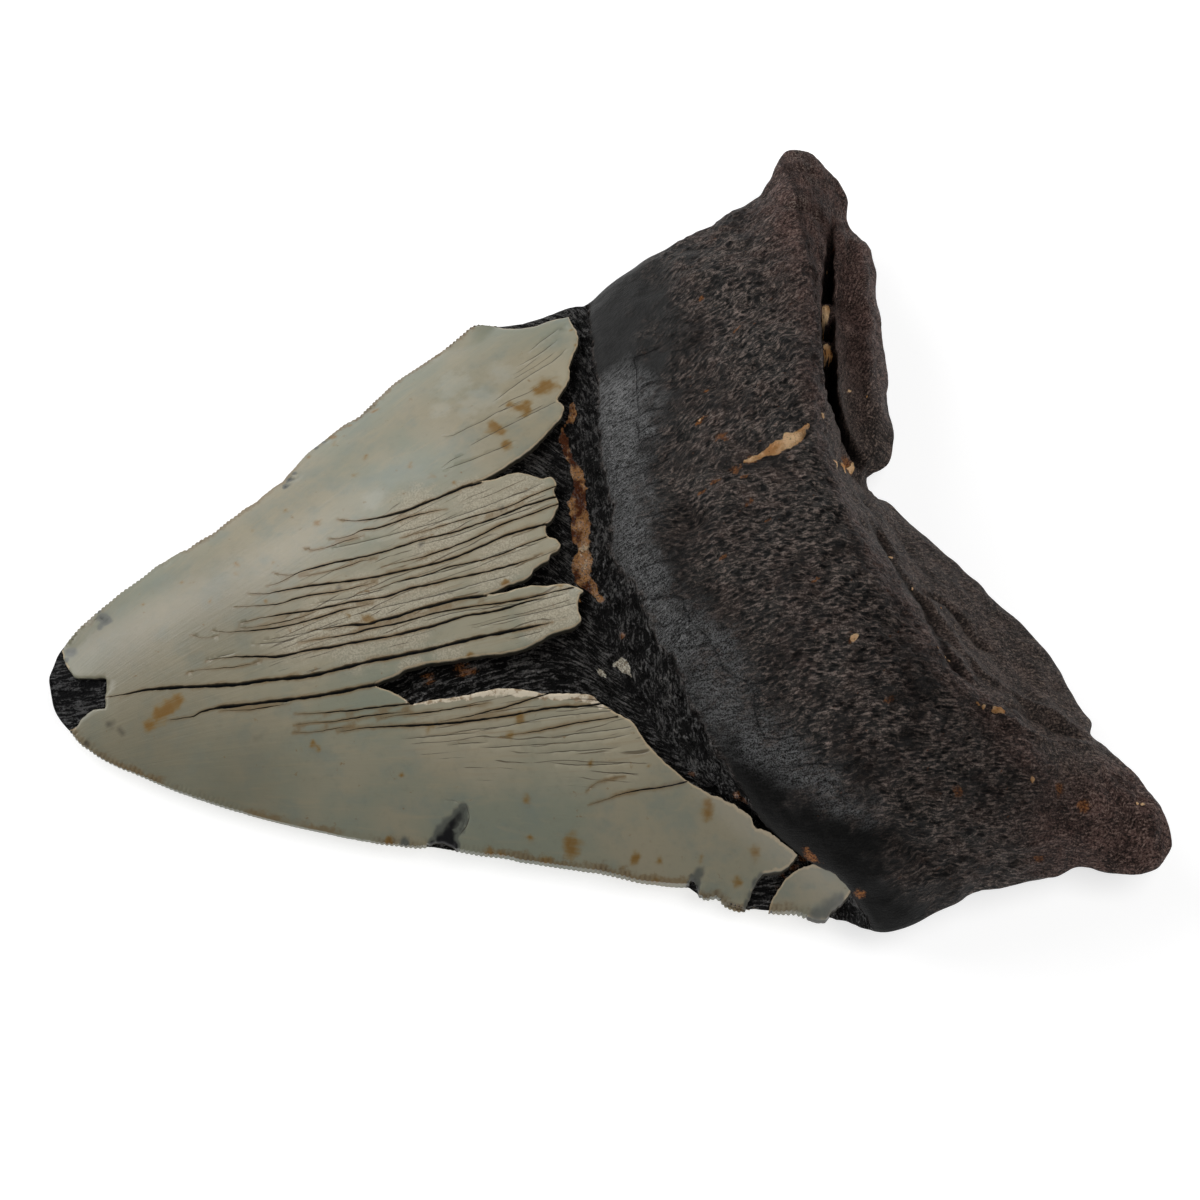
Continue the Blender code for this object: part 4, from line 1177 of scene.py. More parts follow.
SLAB = 1.6  # how far the plates reach below their own surface, into the dentine
OVER_BODY = 0.2  # the least height of a plate's top over the body
LEAST_SLAB = 0.12  # and the plates' least thickness
GROOVE_STEP = 0.4  # spacing of a crack's points
HAIRLINE_WIDTH = 0.17
CRACK_TAPERS, HAIRLINE_TAPERS = (9, 5), (3, 2)  # over how many millimetres each end narrows
HALO = 0.6  # how far the cracks' brown stain reaches
CRACK_SHARE = 0.82  # of the widths given, which include a crack's stained sides
DENTS = (  # x, y, radius in pixels and depth in millimetres: shallow flakes broken off the enamel
    (445, 840, 12, 0.4), (453, 828, 9, 0.2), (461, 816, 9, 0.14), (694, 884, 8, 0.25), (698, 876, 7, 0.15),
    (104, 688, 7, 0.25), (96, 690, 6, 0.3), (752, 896, 7, 0.15), (88, 622, 9, 0.3), (75, 640, 8, 0.25),
    (295, 478, 6, 0.3), (310, 825, 6, 0.15), (400, 843, 7, 0.15), (545, 590, 8, 0.2), (372, 408, 7, 0.2),
    (165, 562, 6, 0.2), (565, 330, 6, 0.2), (356, 414, 6, 0.2), (326, 440, 6, 0.2), (436, 356, 7, 0.15),
)
THIN_SPOTS = (  # where dark dentine shows through thin enamel: x, y and radius in pixels, and how much
    (434, 844, 5, 1), (440, 841, 7, 1), (447, 841, 7, 1), (453, 845, 6, 1), (442, 833, 6, 0.8),
    (449, 832, 7, 1), (453, 838, 5, 0.9), (447, 825, 5, 0.7), (454, 823, 6, 0.95), (458, 816, 6, 0.8),
    (463, 810, 5, 0.65), (464, 820, 4, 0.55), (460, 829, 4, 0.65), (692, 884, 4, 1), (695, 888, 4, 1),
    (693, 879, 4, 0.75), (697, 882, 4, 0.6), (697, 874, 4, 0.6), (701, 872, 3.5, 0.45), (749, 906, 5, 0.6),
    (753, 896, 5, 0.6), (757, 886, 5, 0.6), (762, 877, 4, 0.55), (818, 914, 7, 0.42), (826, 911, 7, 0.42),
    (833, 905, 6, 0.4), (840, 900, 4, 0.4), (101, 617, 5, 0.8), (106, 621, 5, 0.7), (101, 626, 3.5, 0.6),
    (98, 612, 3, 0.5), (71, 652, 6, 0.5), (66, 660, 3, 0.5), (98, 686, 5, 0.5), (88, 681, 4, 0.5),
    (286, 486, 3.5, 0.85), (290, 480, 3.5, 0.85), (294, 473, 2.5, 0.5), (316, 448, 2.5, 0.6),
    (324, 442, 2.5, 0.6), (404, 843, 5, 0.5), (560, 330, 3, 0.3), (82, 714, 4, 0.4), (95, 703, 5, 0.45),
)
WHITE_RIM = (  # the worn, rounded lip of the lower plate's broken edge, painted pale as a highlight, in pixels
    408, 702, 430, 701, 452, 698.5, 472, 694.5, 493, 691.5, 508, 690.5, 529, 692.5, 544, 695.5, 562, 696.5,
    580, 696.5, 592, 698.5, 601, 705,
)
WHITE_RIM_REACH = 3.4  # pixels to each side
# The worn tip and the flakes, which have no painted rim highlight
RIMLESS = ((88, 692, 30), (443, 843, 16), (694, 889, 10))
# Where the enamel is browner
AGED = ((120, 650, 62), (150, 735, 75), (215, 620, 62), (90, 640, 40), (230, 780, 60))
SHEEN_CLOUDS = ((452, 385, 24), (478, 402, 24), (500, 372, 18), (440, 410, 14), (375, 500, 14))  # whitish clouds of painted sheen
DIRTY_EDGES = (  # where brown dirt sits between the serrations
    (345, 428, 30), (385, 395, 34), (425, 362, 30), (460, 335, 26), (540, 865, 50), (620, 878, 45),
    (680, 890, 30), (135, 775, 30), (265, 815, 22), (320, 832, 20), (745, 905, 20),
)
STRIATED_PATCHES = (  # where fine cracks and stained lines run between the cracks
    (440, 555, 70), (400, 590, 60), (340, 600, 45), (500, 520, 50), (530, 545, 40), (480, 625, 40),
    (540, 605, 30), (300, 645, 35), (500, 730, 45), (570, 735, 45), (620, 750, 30), (440, 725, 30),
    (545, 375, 30), (520, 400, 25), (700, 740, 20), (410, 520, 30),
)
FAN_CENTRE, FAN_RADIUS = (RIGHT * -84.7 + AHEAD * -27.1)[:2], 75.0
SHARP_ANGLE = 38  # degrees
# How far inside the outline each row of points lies, and how many of the outline's points it skips to
ROW_OFFSETS = ((0.16, 1), (0.4, 1), (0.75, 2))
CUT_REACH = 0.9  # how far inside the outline the notches' hollows reach
LINGUAL_SPACING, LABIAL_SPACING, UNDER_SPACING = 0.66, 1.6, 2.5  # of the grids of points inside them
ROW_CLEARANCE, GRID_CLEARANCE = 0.05, 0.2  # how far rows and grids stay off the grooves
GRID_INSET, UNDER_INSET = 1.05, 0.8  # and how far the grids on top and below stay off the outline
CRACK_DEPTH, DEPTH_TO_WIDTH = 1.05, 2.8  # the greatest depth of a crack, and its depth for its half width
HAIR_DEPTH, CUT_DEPTH = 0.05, 0.2  # of hairlines and of the notches' hollows
RIM_DEPTH, RIM_REACH = 0.16, 0.3  # of the rounding along broken edges
MOST_DEPTH = 0.85  # of a plate's thickness
WALL_REACH = 0.4  # how far from a broken edge the underside is painted as its wall


def fan_of(plan):
    """How far along and across the fan of cracks each spot is, in millimetres."""
    away = plan - FAN_CENTRE
    across = np.arctan2(away[:, 1], away[:, 0]) * FAN_RADIUS
    return np.stack([np.linalg.norm(away, axis=1), across, 0 * across], -1)


def offset_rows(outline, blocked):
    """Rows of points inside an outline that shape its serrations and broken rims."""
    spots, cuts = [], []
    for distance, every in ROW_OFFSETS:
        for is_cutting in (True, False):
            chosen = np.nonzero(outline.cutting == is_cutting)[0][::every]
            row = outline.points[chosen] + outline.inward[chosen] * distance
            keep = outline.contains(row)
            keep[keep] = off_tree(row[keep], outline.tree) > 0.8 * distance
            keep[keep] = ~blocked(row[keep], ROW_CLEARANCE)
            spots.append(row[keep])
            cuts.append(outline.cuts[chosen][keep] * (1 - distance / CUT_REACH))
    return np.concatenate(spots), np.concatenate(cuts)


def form_spot(x, y):
    """A pixel cast onto the enamel's form, in plan."""
    return on_sheet((x, y), form_sheet)[0, :2]


def pixel_weight(spots, places, wobble, soft):
    """1 inside discs given in pixels, fading to 0 outside; places are cast onto the form."""
    weight = np.zeros(len(spots))
    for x, y, radius, *most in places:
        centre, size = form_spot(x, y), radius * PIXEL
        near = np.abs(spots - centre).max(axis=1) < 3 * size
        off = np.linalg.norm(spots[near] - centre, axis=1) / size
        inside = (1 - smooth(off + 0.8 * wobble[near], 1 - soft, 1 + soft)) * (most[0] if most else 1)
        weight[near] = np.maximum(weight[near], inside)
    return weight


def plan_of(shells, grooves, spacing, blocked):
    """A plate seen from above: its points, its triangles and how deep in a serration each point lies."""
    spots, cuts = [], []
    for shell in shells:
        rows_in, row_cuts = offset_rows(shell, blocked)
        grid = grid_spots(shell.points.min(axis=0), shell.points.max(axis=0), spacing)
        grid = grid[shell.contains(grid)]
        grid = grid[off_tree(grid, shell.tree) > GRID_INSET]
        grid = grid[~blocked(grid, GRID_CLEARANCE)]
        spots += [rows_in, grid]
        cuts += [row_cuts, np.zeros(len(grid))]
    lines = [line for groove in grooves for line in groove.lines]
    plan, faces, origin = triangulated([shell.points for shell in shells], lines, np.concatenate(spots))
    source_cuts = [shell.cuts for shell in shells] + [np.zeros(len(line)) for line in lines] + cuts
    return plan, faces, np.where(origin >= 0, np.concatenate(source_cuts)[origin], 0)


def plate_marks(plan, wobble, fine, coarse):
    """Weights of the marks that are painted on the lingual plate alone."""
    lit_lip = np.array([form_spot(*pixel) for pixel in pairs(WHITE_RIM)])
    from_lip = distance_to_line(plan, lit_lip)[0] / (WHITE_RIM_REACH * PIXEL)
    return {
        "lit_lip": 1 - smooth(from_lip + 0.5 * wobble + 0.3 * fine, 0.6, 1.4),
        "stain": pixel_weight(plan, RUST_STAINS, 0.7 * wobble + 0.4 * fine, 0.85),
        "speck": pixel_weight(plan, DARK_SPECKS, wobble, 0.5),
        "thin": pixel_weight(plan, THIN_SPOTS, 0.4 * wobble, 0.7),
        "striated": pixel_weight(plan, STRIATED_PATCHES, 0.3 * wobble, 0.6),
        "matte": pixel_weight(plan, MATTE_PATCHES, 0.5 * coarse, 0.7),
    }


def closed_plate(plan, faces, top, shells, under_height):
    """A plate's points and faces: the given top, a coarser underside and walls round its rim's loops."""
    rims = boundary_loops(faces)
    spots = grid_spots(plan.min(axis=0), plan.max(axis=0), UNDER_SPACING)
    spots = spots[np.any([shell.contains(spots) for shell in shells], axis=0)]
    spots = spots[np.min([off_tree(spots, shell.tree) for shell in shells], axis=0) > UNDER_INSET]
    under_plan, under_faces, sources = triangulated([plan[loop] for loop in rims], [], spots)
    points = np.concatenate([
        np.column_stack([plan, top]), np.column_stack([under_plan, under_height(under_plan)]),
    ])
    below = {int(source): k + len(plan) for k, source in enumerate(sources)}
    all_faces = faces.tolist() + (under_faces[:, ::-1] + len(plan)).tolist()
    start = 0
    for loop in rims:
        for k in range(len(loop)):
            ahead = (k + 1) % len(loop)
            all_faces.append([int(loop[ahead]), int(loop[k]), below[start + k], below[start + ahead]])
        start += len(loop)
    return points, all_faces, under_plan


def slab(name, shells, grooves, hairlines, top_height, bottom_height, spacing, is_lingual):
    """A closed plate between two surfaces over its outlines, with grooves in its top."""
    halves = np.concatenate([[], *(groove.half for groove in grooves + hairlines)])
    groove_tree = tree_of([spot for groove in grooves + hairlines for spot in groove.middle])

    def off_grooves(spots):
        """How far spots are beyond the rims of the nearest groove, and its nearest point's number."""
        if not len(halves) or not len(spots):
            return np.full(len(spots), FAR), np.zeros(len(spots), int)
        off, nearest = zip(*((off, k) for _, k, off in (groove_tree.find((x, y, 0)) for x, y in spots)))
        return np.array(off) - halves[list(nearest)], np.array(nearest)

    def blocked(spots, margin):
        return off_grooves(spots)[0] < margin

    plan, faces, cut = plan_of(shells, grooves + hairlines, spacing, blocked)
    top = top_height(plan)
    crack, crack_half = nearness(plan, grooves)
    hair, _ = nearness(plan, hairlines)
    from_rims, nearest = off_grooves(plan)
    is_hairline = nearest >= sum(len(groove.middle) for groove in grooves)
    edge_off = np.min([off_tree(plan, shell.edge_tree) for shell in shells], axis=0)
    break_off = np.min([off_tree(plan, shell.break_tree) for shell in shells], axis=0)
    spots = np.column_stack([plan, top])
    wobble, fine = samples(spots, 1.6, 3, 41), samples(spots, 0.7, 2, 42)

    if is_lingual:
        depth = crack * np.minimum(CRACK_DEPTH, DEPTH_TO_WIDTH * crack_half)
        depth += HAIR_DEPTH * hair
        depth += CUT_DEPTH * cut
        depth += (RIM_DEPTH + 0.08 * fine) * np.clip(1 - break_off / RIM_REACH, 0, 1) ** 2
        for x, y, radius, deep in DENTS:
            off = np.linalg.norm(plan - form_spot(x, y), axis=1) / (radius * PIXEL)
            depth += deep * (1 - smooth(off + 0.25 * wobble, 0.55, 1.05))
        depth -= 0.05 * samples(spots, 14, 2, 43) + 0.012 * samples(spots, 3, 2, 44)
        fade = np.where(crack > 0, 1, 0.35 + 0.65 * np.clip(edge_off / 0.5, 0, 1))
        marks = plate_marks(plan, wobble, fine, samples(spots, 5, 3, 45))
        top = top - np.minimum(depth * fade, MOST_DEPTH * (top - bottom_height(plan, top)))
    else:
        marks = {key: 0 * top for key in ("lit_lip", "stain", "speck", "thin", "striated", "matte")}

    points, all_faces, under_plan = closed_plate(
        plan, faces, top, shells, lambda spots: bottom_height(spots, top_height(spots)))
    from_break = np.min([off_tree(under_plan, shell.break_tree) for shell in shells], axis=0)
    attributes = {
        "crack": crack, "hair": hair, "cut": cut, "edge_off": np.minimum(edge_off, FAR),
        "break_off": np.minimum(break_off + FAR * pixel_weight(plan, RIMLESS, 0 * wobble, 0.2), FAR),
        "halo": np.clip(1 - np.maximum(from_rims, 0) / HALO, 0, 1) * ~is_hairline,
        "aged": pixel_weight(plan, AGED, 0.3 * wobble, 0.9),
        "painted_sheen": pixel_weight(plan, SHEEN_CLOUDS, 0.4 * wobble, 0.9),
        "dirty": pixel_weight(plan, DIRTY_EDGES, 0.3 * wobble, 0.5), "wall": 0 * top, **marks,
    }
    below = {"break_off": FAR, "edge_off": FAR, "wall": (from_break < WALL_REACH) * is_lingual}
    for key, values in attributes.items():
        attributes[key] = np.concatenate([values, np.zeros(len(under_plan)) + below.get(key, 0)])
    attributes["fan"] = fan_of(np.concatenate([plan, under_plan]))
    return new_object(name, inside_box(points), all_faces, attributes, SHARP_ANGLE)


def build_lingual_enamel():
    broken_runs = (
        LOWER_PLATE_END, LOWER_PLATE_TOP, WEDGE_TIP, MIDDLE_LOWER_EDGE, MIDDLE_EDGE, UPPER_LOWER_EDGE,
        FAR_CORNER,
    )
    outline = Outline([
        (on_edge(NEAR_EDGE), True), (on_edge(SCALLOP), False), (on_edge(NEAR_EDGE_MIDDLE), True),
        (on_edge(SECOND_SCALLOP), False), (on_edge(NEAR_EDGE_END), True),
        *((on_sheet(run, form_sheet), False) for run in broken_runs),
        (on_edge(FAR_EDGE), True), (on_sheet(WORN_TIP, form_sheet), False),
    ])
    island = Outline([
        (on_sheet(CORNER_ISLAND[:10], form_sheet), False), (on_edge(CORNER_ISLAND[8:16]), True),
        (on_sheet(CORNER_ISLAND[14:], form_sheet), False),
    ])
    grooves = [
        Groove(on_sheet(crack[1:], form_sheet), crack[0] * CRACK_SHARE, k, outline, CRACK_TAPERS)
        for k, crack in enumerate(CRACKS)
    ]
    hairlines = [
        Groove(on_sheet(line, form_sheet), HAIRLINE_WIDTH, 50 + k, outline, HAIRLINE_TAPERS)
        for k, line in enumerate(HAIRLINES)
    ]

    def top_height(plan):
        return np.maximum(form_sheet.heights(plan, EDGE_HEIGHT), core_sheet.heights(plan, 0) + OVER_BODY)

    def bottom_height(plan, top):
        return np.minimum(np.maximum(top - SLAB, EDGE_HEIGHT - THIN_EDGE), top - LEAST_SLAB)

    return slab("enamel_lingual", [outline, island], grooves, hairlines, top_height, bottom_height,
                LINGUAL_SPACING, True)


LABIAL_STEP = 0.3  # how far the labial enamel keeps back from the lingual cutting edge
LABIAL_TIP = ((-71.5, 2, EDGE_HEIGHT), (-71.8, -2, EDGE_HEIGHT))


def build_labial_enamel():
    def drawn_in(*runs):
        points = np.concatenate([on_edge(run) for run in runs])
        points[:, :2] += left_of(points) * LABIAL_STEP
        return points

    near = drawn_in(NEAR_EDGE, NEAR_EDGE_MIDDLE[2:], NEAR_EDGE_END[4:], CORNER_ISLAND[10:16])
    far = drawn_in(FAR_CORNER, FAR_EDGE[2:])
    root_line = np.array([near[-1], *((x, y, EDGE_HEIGHT) for x, y in LABIAL_ROOT_LINE), far[0]])
    tip = np.array([far[-1], *LABIAL_TIP, near[0]])
    outline = Outline([(near, True), (root_line, False), (far, True), (tip, False)])

    def bottom_height(plan, _):
        return labial_sheet.heights(plan, EDGE_HEIGHT - THIN_EDGE)

    def top_height(plan):
        low = bottom_height(plan, None)
        return np.maximum(np.minimum(low + SLAB, EDGE_HEIGHT - 0.07), low + LEAST_SLAB)

    return slab("enamel_labial", [outline], [], [], top_height, bottom_height, LABIAL_SPACING, False)


# ---------------------------------------------------------------- materials
class Shader:
    """A Principled material with helpers that add its nodes."""

    def __init__(self, name):
        self.material = bpy.data.materials.new(name)
        self.material.use_nodes = True
        self.tree = self.material.node_tree

    def put(self, inputs, values):
        """Links each input, by name or number, to a socket, or sets it to a number or a colour."""
        for key, value in values.items():
            if isinstance(value, bpy.types.NodeSocket):
                self.tree.links.new(value, inputs[key])
            elif inputs[key].type == "RGBA":
                inputs[key].default_value = (*value, 1)
            else:
                inputs[key].default_value = value

    def node(self, kind, output, inputs, **settings):
        made = self.tree.nodes.new("ShaderNode" + kind)
        for key, value in settings.items():
            setattr(made, key, value)
        self.put(made.inputs, inputs)
        return made.outputs[output]

    def attribute(self, name, kind="Fac"):
        return self.node("Attribute", kind, {}, attribute_name=name)

    def height_of(self, vector):
        """A vector's second number."""
        return self.node("SeparateXYZ", "Y", {0: vector})

    def math(self, operation, first, second=0.0, clamp=False):
        return self.node("Math", 0, {0: first, 1: second}, operation=operation, use_clamp=clamp)

    def times(self, first, second):
        return self.math("MULTIPLY", first, second)

    def total(self, *terms):
        """The sum of (value, factor) terms."""
        result = None
        for value, factor in terms:
            scaled = self.times(value, factor)
            result = scaled if result is None else self.math("ADD", result, scaled)
        return result

    def step(self, value, low, high, start=0.0, end=1.0):
        """An S from start, where the value is low, to end, where it is high."""
        inputs = {"Value": value, "From Min": low, "From Max": high, "To Min": start, "To Max": end}
        return self.node("MapRange", "Result", inputs, interpolation_type="SMOOTHSTEP")

    def place(self, scale, along=None, turn=0):
        """Object coordinates, or an attribute's turned by some degrees, in units of scale millimetres."""
        source = self.attribute(along, "Vector") if along else self.node("TexCoord", "Object", {})
        unit = 1 if along else MM
        sizes = scale if isinstance(scale, tuple) else (scale, scale, scale)
        inputs = {
            "Vector": source, "Scale": tuple(size * unit for size in sizes),
            "Rotation": (0, 0, math.radians(turn)),
        }
        return self.node("Mapping", "Vector", inputs, vector_type="TEXTURE")

    def noise(self, scale, detail, roughness=0.55, distortion=0.0, along=None, turn=0):
        inputs = {
            "Vector": self.place(scale, along, turn), "Scale": 1.0, "Detail": detail,
            "Roughness": roughness, "Distortion": distortion,
        }
        return self.node("TexNoise", "Fac", inputs)

    def cells(self, scale, along, turn):
        return self.node("TexVoronoi", "Distance", {"Vector": self.place(scale, along, turn), "Scale": 1.0})

    def blend(self, factor, first, second):
        """A number between two others."""
        return self.math("ADD", first, self.times(factor, self.math("SUBTRACT", second, first)))

    def mix(self, factor, first, second):
        """A colour between two others."""
        return self.node("Mix", 2, {"Factor": factor, 6: first, 7: second}, data_type="RGBA")

    def coated(self, colour, *coats):
        """A colour under coats, each a (factor, colour)."""
        for factor, coat in coats:
            colour = self.mix(factor, colour, coat)
        return colour

    def bump(self, height, distance):
        """Normals for a height that stands so many millimetres proud at 1."""
        return self.node("Bump", "Normal", {"Height": height, "Distance": distance * MM, "Strength": 1.0})

    def finish(self, colour, roughness, normal, specular):
        self.put(self.tree.nodes["Principled BSDF"].inputs, {
            "Base Color": colour, "Roughness": roughness, "Normal": normal, "Specular IOR Level": specular,
        })
        return self.material


def body_material():
    s = Shader("fossil_root")
    zone = {key: s.attribute(key) for key in (
        "bourlette", "porous", "behind", "lobes", "band", "crown", "sediment", "seam", "rust", "hollow",
        "polish_and_sheen", "white", "carving", "dust", "tip")}
    broad, patches, grit = s.noise(9, 3), s.noise(3.2, 4, 0.6), s.noise(0.3, 2, 0.65)
    grain = s.step(s.noise(0.2, 2, 0.65), 0.34, 0.66)
    across = s.height_of(s.attribute("grain", "Vector"))
    upper, top, lower = s.step(across, 4, 16), s.step(across, 19, 29), s.step(across, -12, -24)
    fibres = s.blend(upper, s.noise((1.15, 0.38, 1), 5, 0.72, 0.5, "grain", -8),
                     s.noise((1.1, 0.38, 1), 5, 0.72, 0.5, "grain", 28))
    pores = s.blend(upper, s.cells((1.2, 0.62, 0.8), "grain", -8), s.cells((1.2, 0.62, 0.8), "grain", 28))
    strands = s.blend(zone["band"], s.noise((2.2, 0.42, 1), 4, 0.62, 0.8, "grain"),
                      s.noise((0.42, 1.5, 1), 4, 0.62, 1.4, "grain"))
    wrinkles = s.blend(lower, s.noise((1.2, 0.34, 1), 3, 0.62, 0.9, "grain", 24),
                       s.noise((1.3, 0.34, 1), 3, 0.62, 0.7, "grain", -12))
    wrinkles = s.blend(top, wrinkles, s.noise((1.15, 0.3, 1), 2, 0.6, 0.6, "grain", 32))

    slots = s.step(s.total((pores, 1.0), (fibres, 0.7)), 0.48, 0.86)
    sharp_grit, sharp_fibres = s.step(grit, 0.36, 0.64), s.step(fibres, 0.36, 0.64)
    spongy = s.total((sharp_fibres, 0.95), (slots, 1.0), (sharp_grit, 0.4))
    rippled = s.total((s.step(wrinkles, 0.3, 0.7), s.blend(top, 0.45, 0.8)), (grain, 0.5))
    glint = s.step(rippled, 0.1, 1.15)
    stringy = s.total((s.step(strands, 0.34, 0.66), 1.2), (sharp_grit, 0.5), (s.step(patches, 0.3, 0.7), 0.6))
    grainy = s.total((sharp_grit, 0.45), (sharp_fibres, 0.45))

    def pitted(dark, light, shaded_pit, lit_crest):
        return s.coated(
            s.mix(s.step(patches, 0.36, 0.66), dark, light),
            # painted shade in the pits and painted highlights on the crests
            (s.step(grainy, 0.5, 0.15, 0, 0.9), shaded_pit), (s.step(grainy, 0.55, 0.85, 0, 0.65), lit_crest),
        )

    brown = s.coated(
        s.mix(s.step(patches, 0.38, 0.66), (0.05, 0.041, 0.036), (0.094, 0.064, 0.054)),
        (s.step(broad, 0.45, 0.62, 0, 0.7), (0.06, 0.057, 0.052)),  # greyer regions
        (s.step(spongy, 1.5, 0.75), (0.002, 0.0018, 0.0018)),  # pores, their dark insides deepened with painted shade
        (s.step(spongy, 1.65, 2.1, 0, 0.85), (0.36, 0.28, 0.24)),  # painted highlights on the crests between them
        (s.step(grain, 0.25, 0.0, 0, 0.5), (0.008, 0.006, 0.006)),  # fine dark grains
        (s.step(patches, 0.46, 0.3, 0, 0.6), (0.006, 0.005, 0.005)),  # dark patches
        (s.step(s.total((broad, 1), (patches, 0.5)), 0.8, 0.6, 0, 0.6), (0.012, 0.01, 0.0095)),
    )
    lobe = pitted((0.056, 0.033, 0.028), (0.135, 0.08, 0.068), (0.008, 0.006, 0.005), (0.34, 0.24, 0.2))
    back = pitted((0.042, 0.032, 0.028), (0.095, 0.069, 0.06), (0.009, 0.007, 0.006), (0.27, 0.2, 0.16))
    black = s.coated(
        s.mix(s.step(stringy, 0.9, 2.0), (0.0012, 0.0012, 0.0012), (0.034, 0.03, 0.026)),
        # painted glints on the strands' highest crests; then a darker, bluer tip
        (s.step(stringy, 1.7, 2.1), (0.11, 0.1, 0.088)), (s.times(zone["tip"], 0.85), (0.006, 0.006, 0.007)),
    )
    # painted glints: the bourlette's colour lighter where its ripples glint, most on the glossy band
    glinting_bourlette = s.mix(zone["polish_and_sheen"], s.mix(glint, (0.001, 0.001, 0.001), (0.01, 0.0098, 0.0092)),
                     s.mix(glint, (0.0005, 0.0005, 0.0005), (0.06, 0.061, 0.062)))
    sand = s.coated(
        s.mix(s.step(patches, 0.38, 0.58), (0.62, 0.3, 0.11), (0.95, 0.64, 0.36)),
        (s.step(grit, 0.58, 0.7, 0, 0.6), (0.16, 0.075, 0.035)),
    )
    clay = s.coated(
        s.mix(s.step(patches, 0.42, 0.55), (0.11, 0.036, 0.017), (0.5, 0.25, 0.1)),
        (s.step(s.total((patches, 1), (fibres, 0.6)), 0.92, 1.0), (0.72, 0.54, 0.34)),
        (s.step(grit, 0.5, 0.64, 0, 0.75), (0.03, 0.015, 0.009)),
    )

    # painted shade in the cut-in folds and the crevice, darker where they are cut deeper
    fold_shade = s.step(s.total((zone["carving"], 1), (patches, 0.3)), 0.25, 0.95, 0, 0.7)
    on_crack = s.times(s.step(s.math("ABSOLUTE", s.attribute("crack_side")), 0.17, 0.06),
                       s.step(s.attribute("crack_near"), 0.7, 0.4))
    specks = s.step(s.noise((1.3, 0.6, 1), 2, 0.5, 0.0, "grain", 28), 0.7, 0.76)
    rust = s.step(s.total((zone["rust"], 1), (grit, 1.2), (patches, 0.8)), 1.3, 2.1, 0, 0.85)
    dust = s.times(zone["dust"], s.step(s.total((fibres, 1), (grit, 1)), 1.02, 1.2))
    colour = s.coated(
        brown,
        (zone["behind"], back), (zone["lobes"], lobe), (zone["bourlette"], glinting_bourlette), (zone["crown"], black),
        # painted shade in the relief's hollows
        (s.step(zone["hollow"], 0.6, 1.5), (0.003, 0.0025, 0.0025)),
        # painted shade in the folds and the crevice
        (fold_shade, (0.004, 0.0033, 0.003)),
        (on_crack, (0.001, 0.001, 0.001)),
        (s.times(specks, zone["porous"]), (0.16, 0.06, 0.025)),  # rusty specks
        (rust, s.mix(sharp_grit, (0.1, 0.03, 0.01), (0.36, 0.14, 0.04))),
        (s.times(dust, 0.8), (0.4, 0.35, 0.29)),
        (s.step(s.total((zone["sediment"], 1), (grit, 0.5)), 0.6, 0.85), sand),
        (s.step(s.total((zone["seam"], 1), (grit, 0.5)), 0.6, 0.85), clay),
        (s.step(s.total((zone["white"], 1), (grit, 0.6)), 0.65, 0.9),
         s.mix(sharp_grit, (0.3, 0.24, 0.16), (0.95, 0.9, 0.76))),
    )

    dull = s.math("MAXIMUM", zone["sediment"], zone["seam"])
    rough = s.total((zone["bourlette"], -0.12), (zone["polish_and_sheen"], -0.14), (zone["crown"], -0.14),
                    (patches, 0.12), (dull, 0.2))
    ripples = s.times(rippled, s.times(zone["bourlette"], s.math("ADD", zone["polish_and_sheen"], 0.4)))
    height = s.total(
        (ripples, 0.1), (s.times(spongy, zone["porous"]), 0.42), (s.times(stringy, zone["crown"]), 0.55),
        (s.times(grit, dull), 0.35), (s.times(grainy, s.math("SUBTRACT", 1.0, zone["bourlette"])), 0.2),
        (on_crack, -0.1),
    )
    ropes = s.times(zone["crown"], s.step(stringy, 1.15, 1.75))
    shine = s.times(zone["polish_and_sheen"], glint)
    specular = s.total((shine, 1.25), (zone["porous"], 0.15), (ropes, 1.1), (dull, -0.1))
    return s.finish(colour, s.math("ADD", rough, 0.52), s.bump(height, 1.0), s.math("ADD", specular, 0.1))


LINE_PITCH = 1.05  # millimetres between the stained lines of the enamel


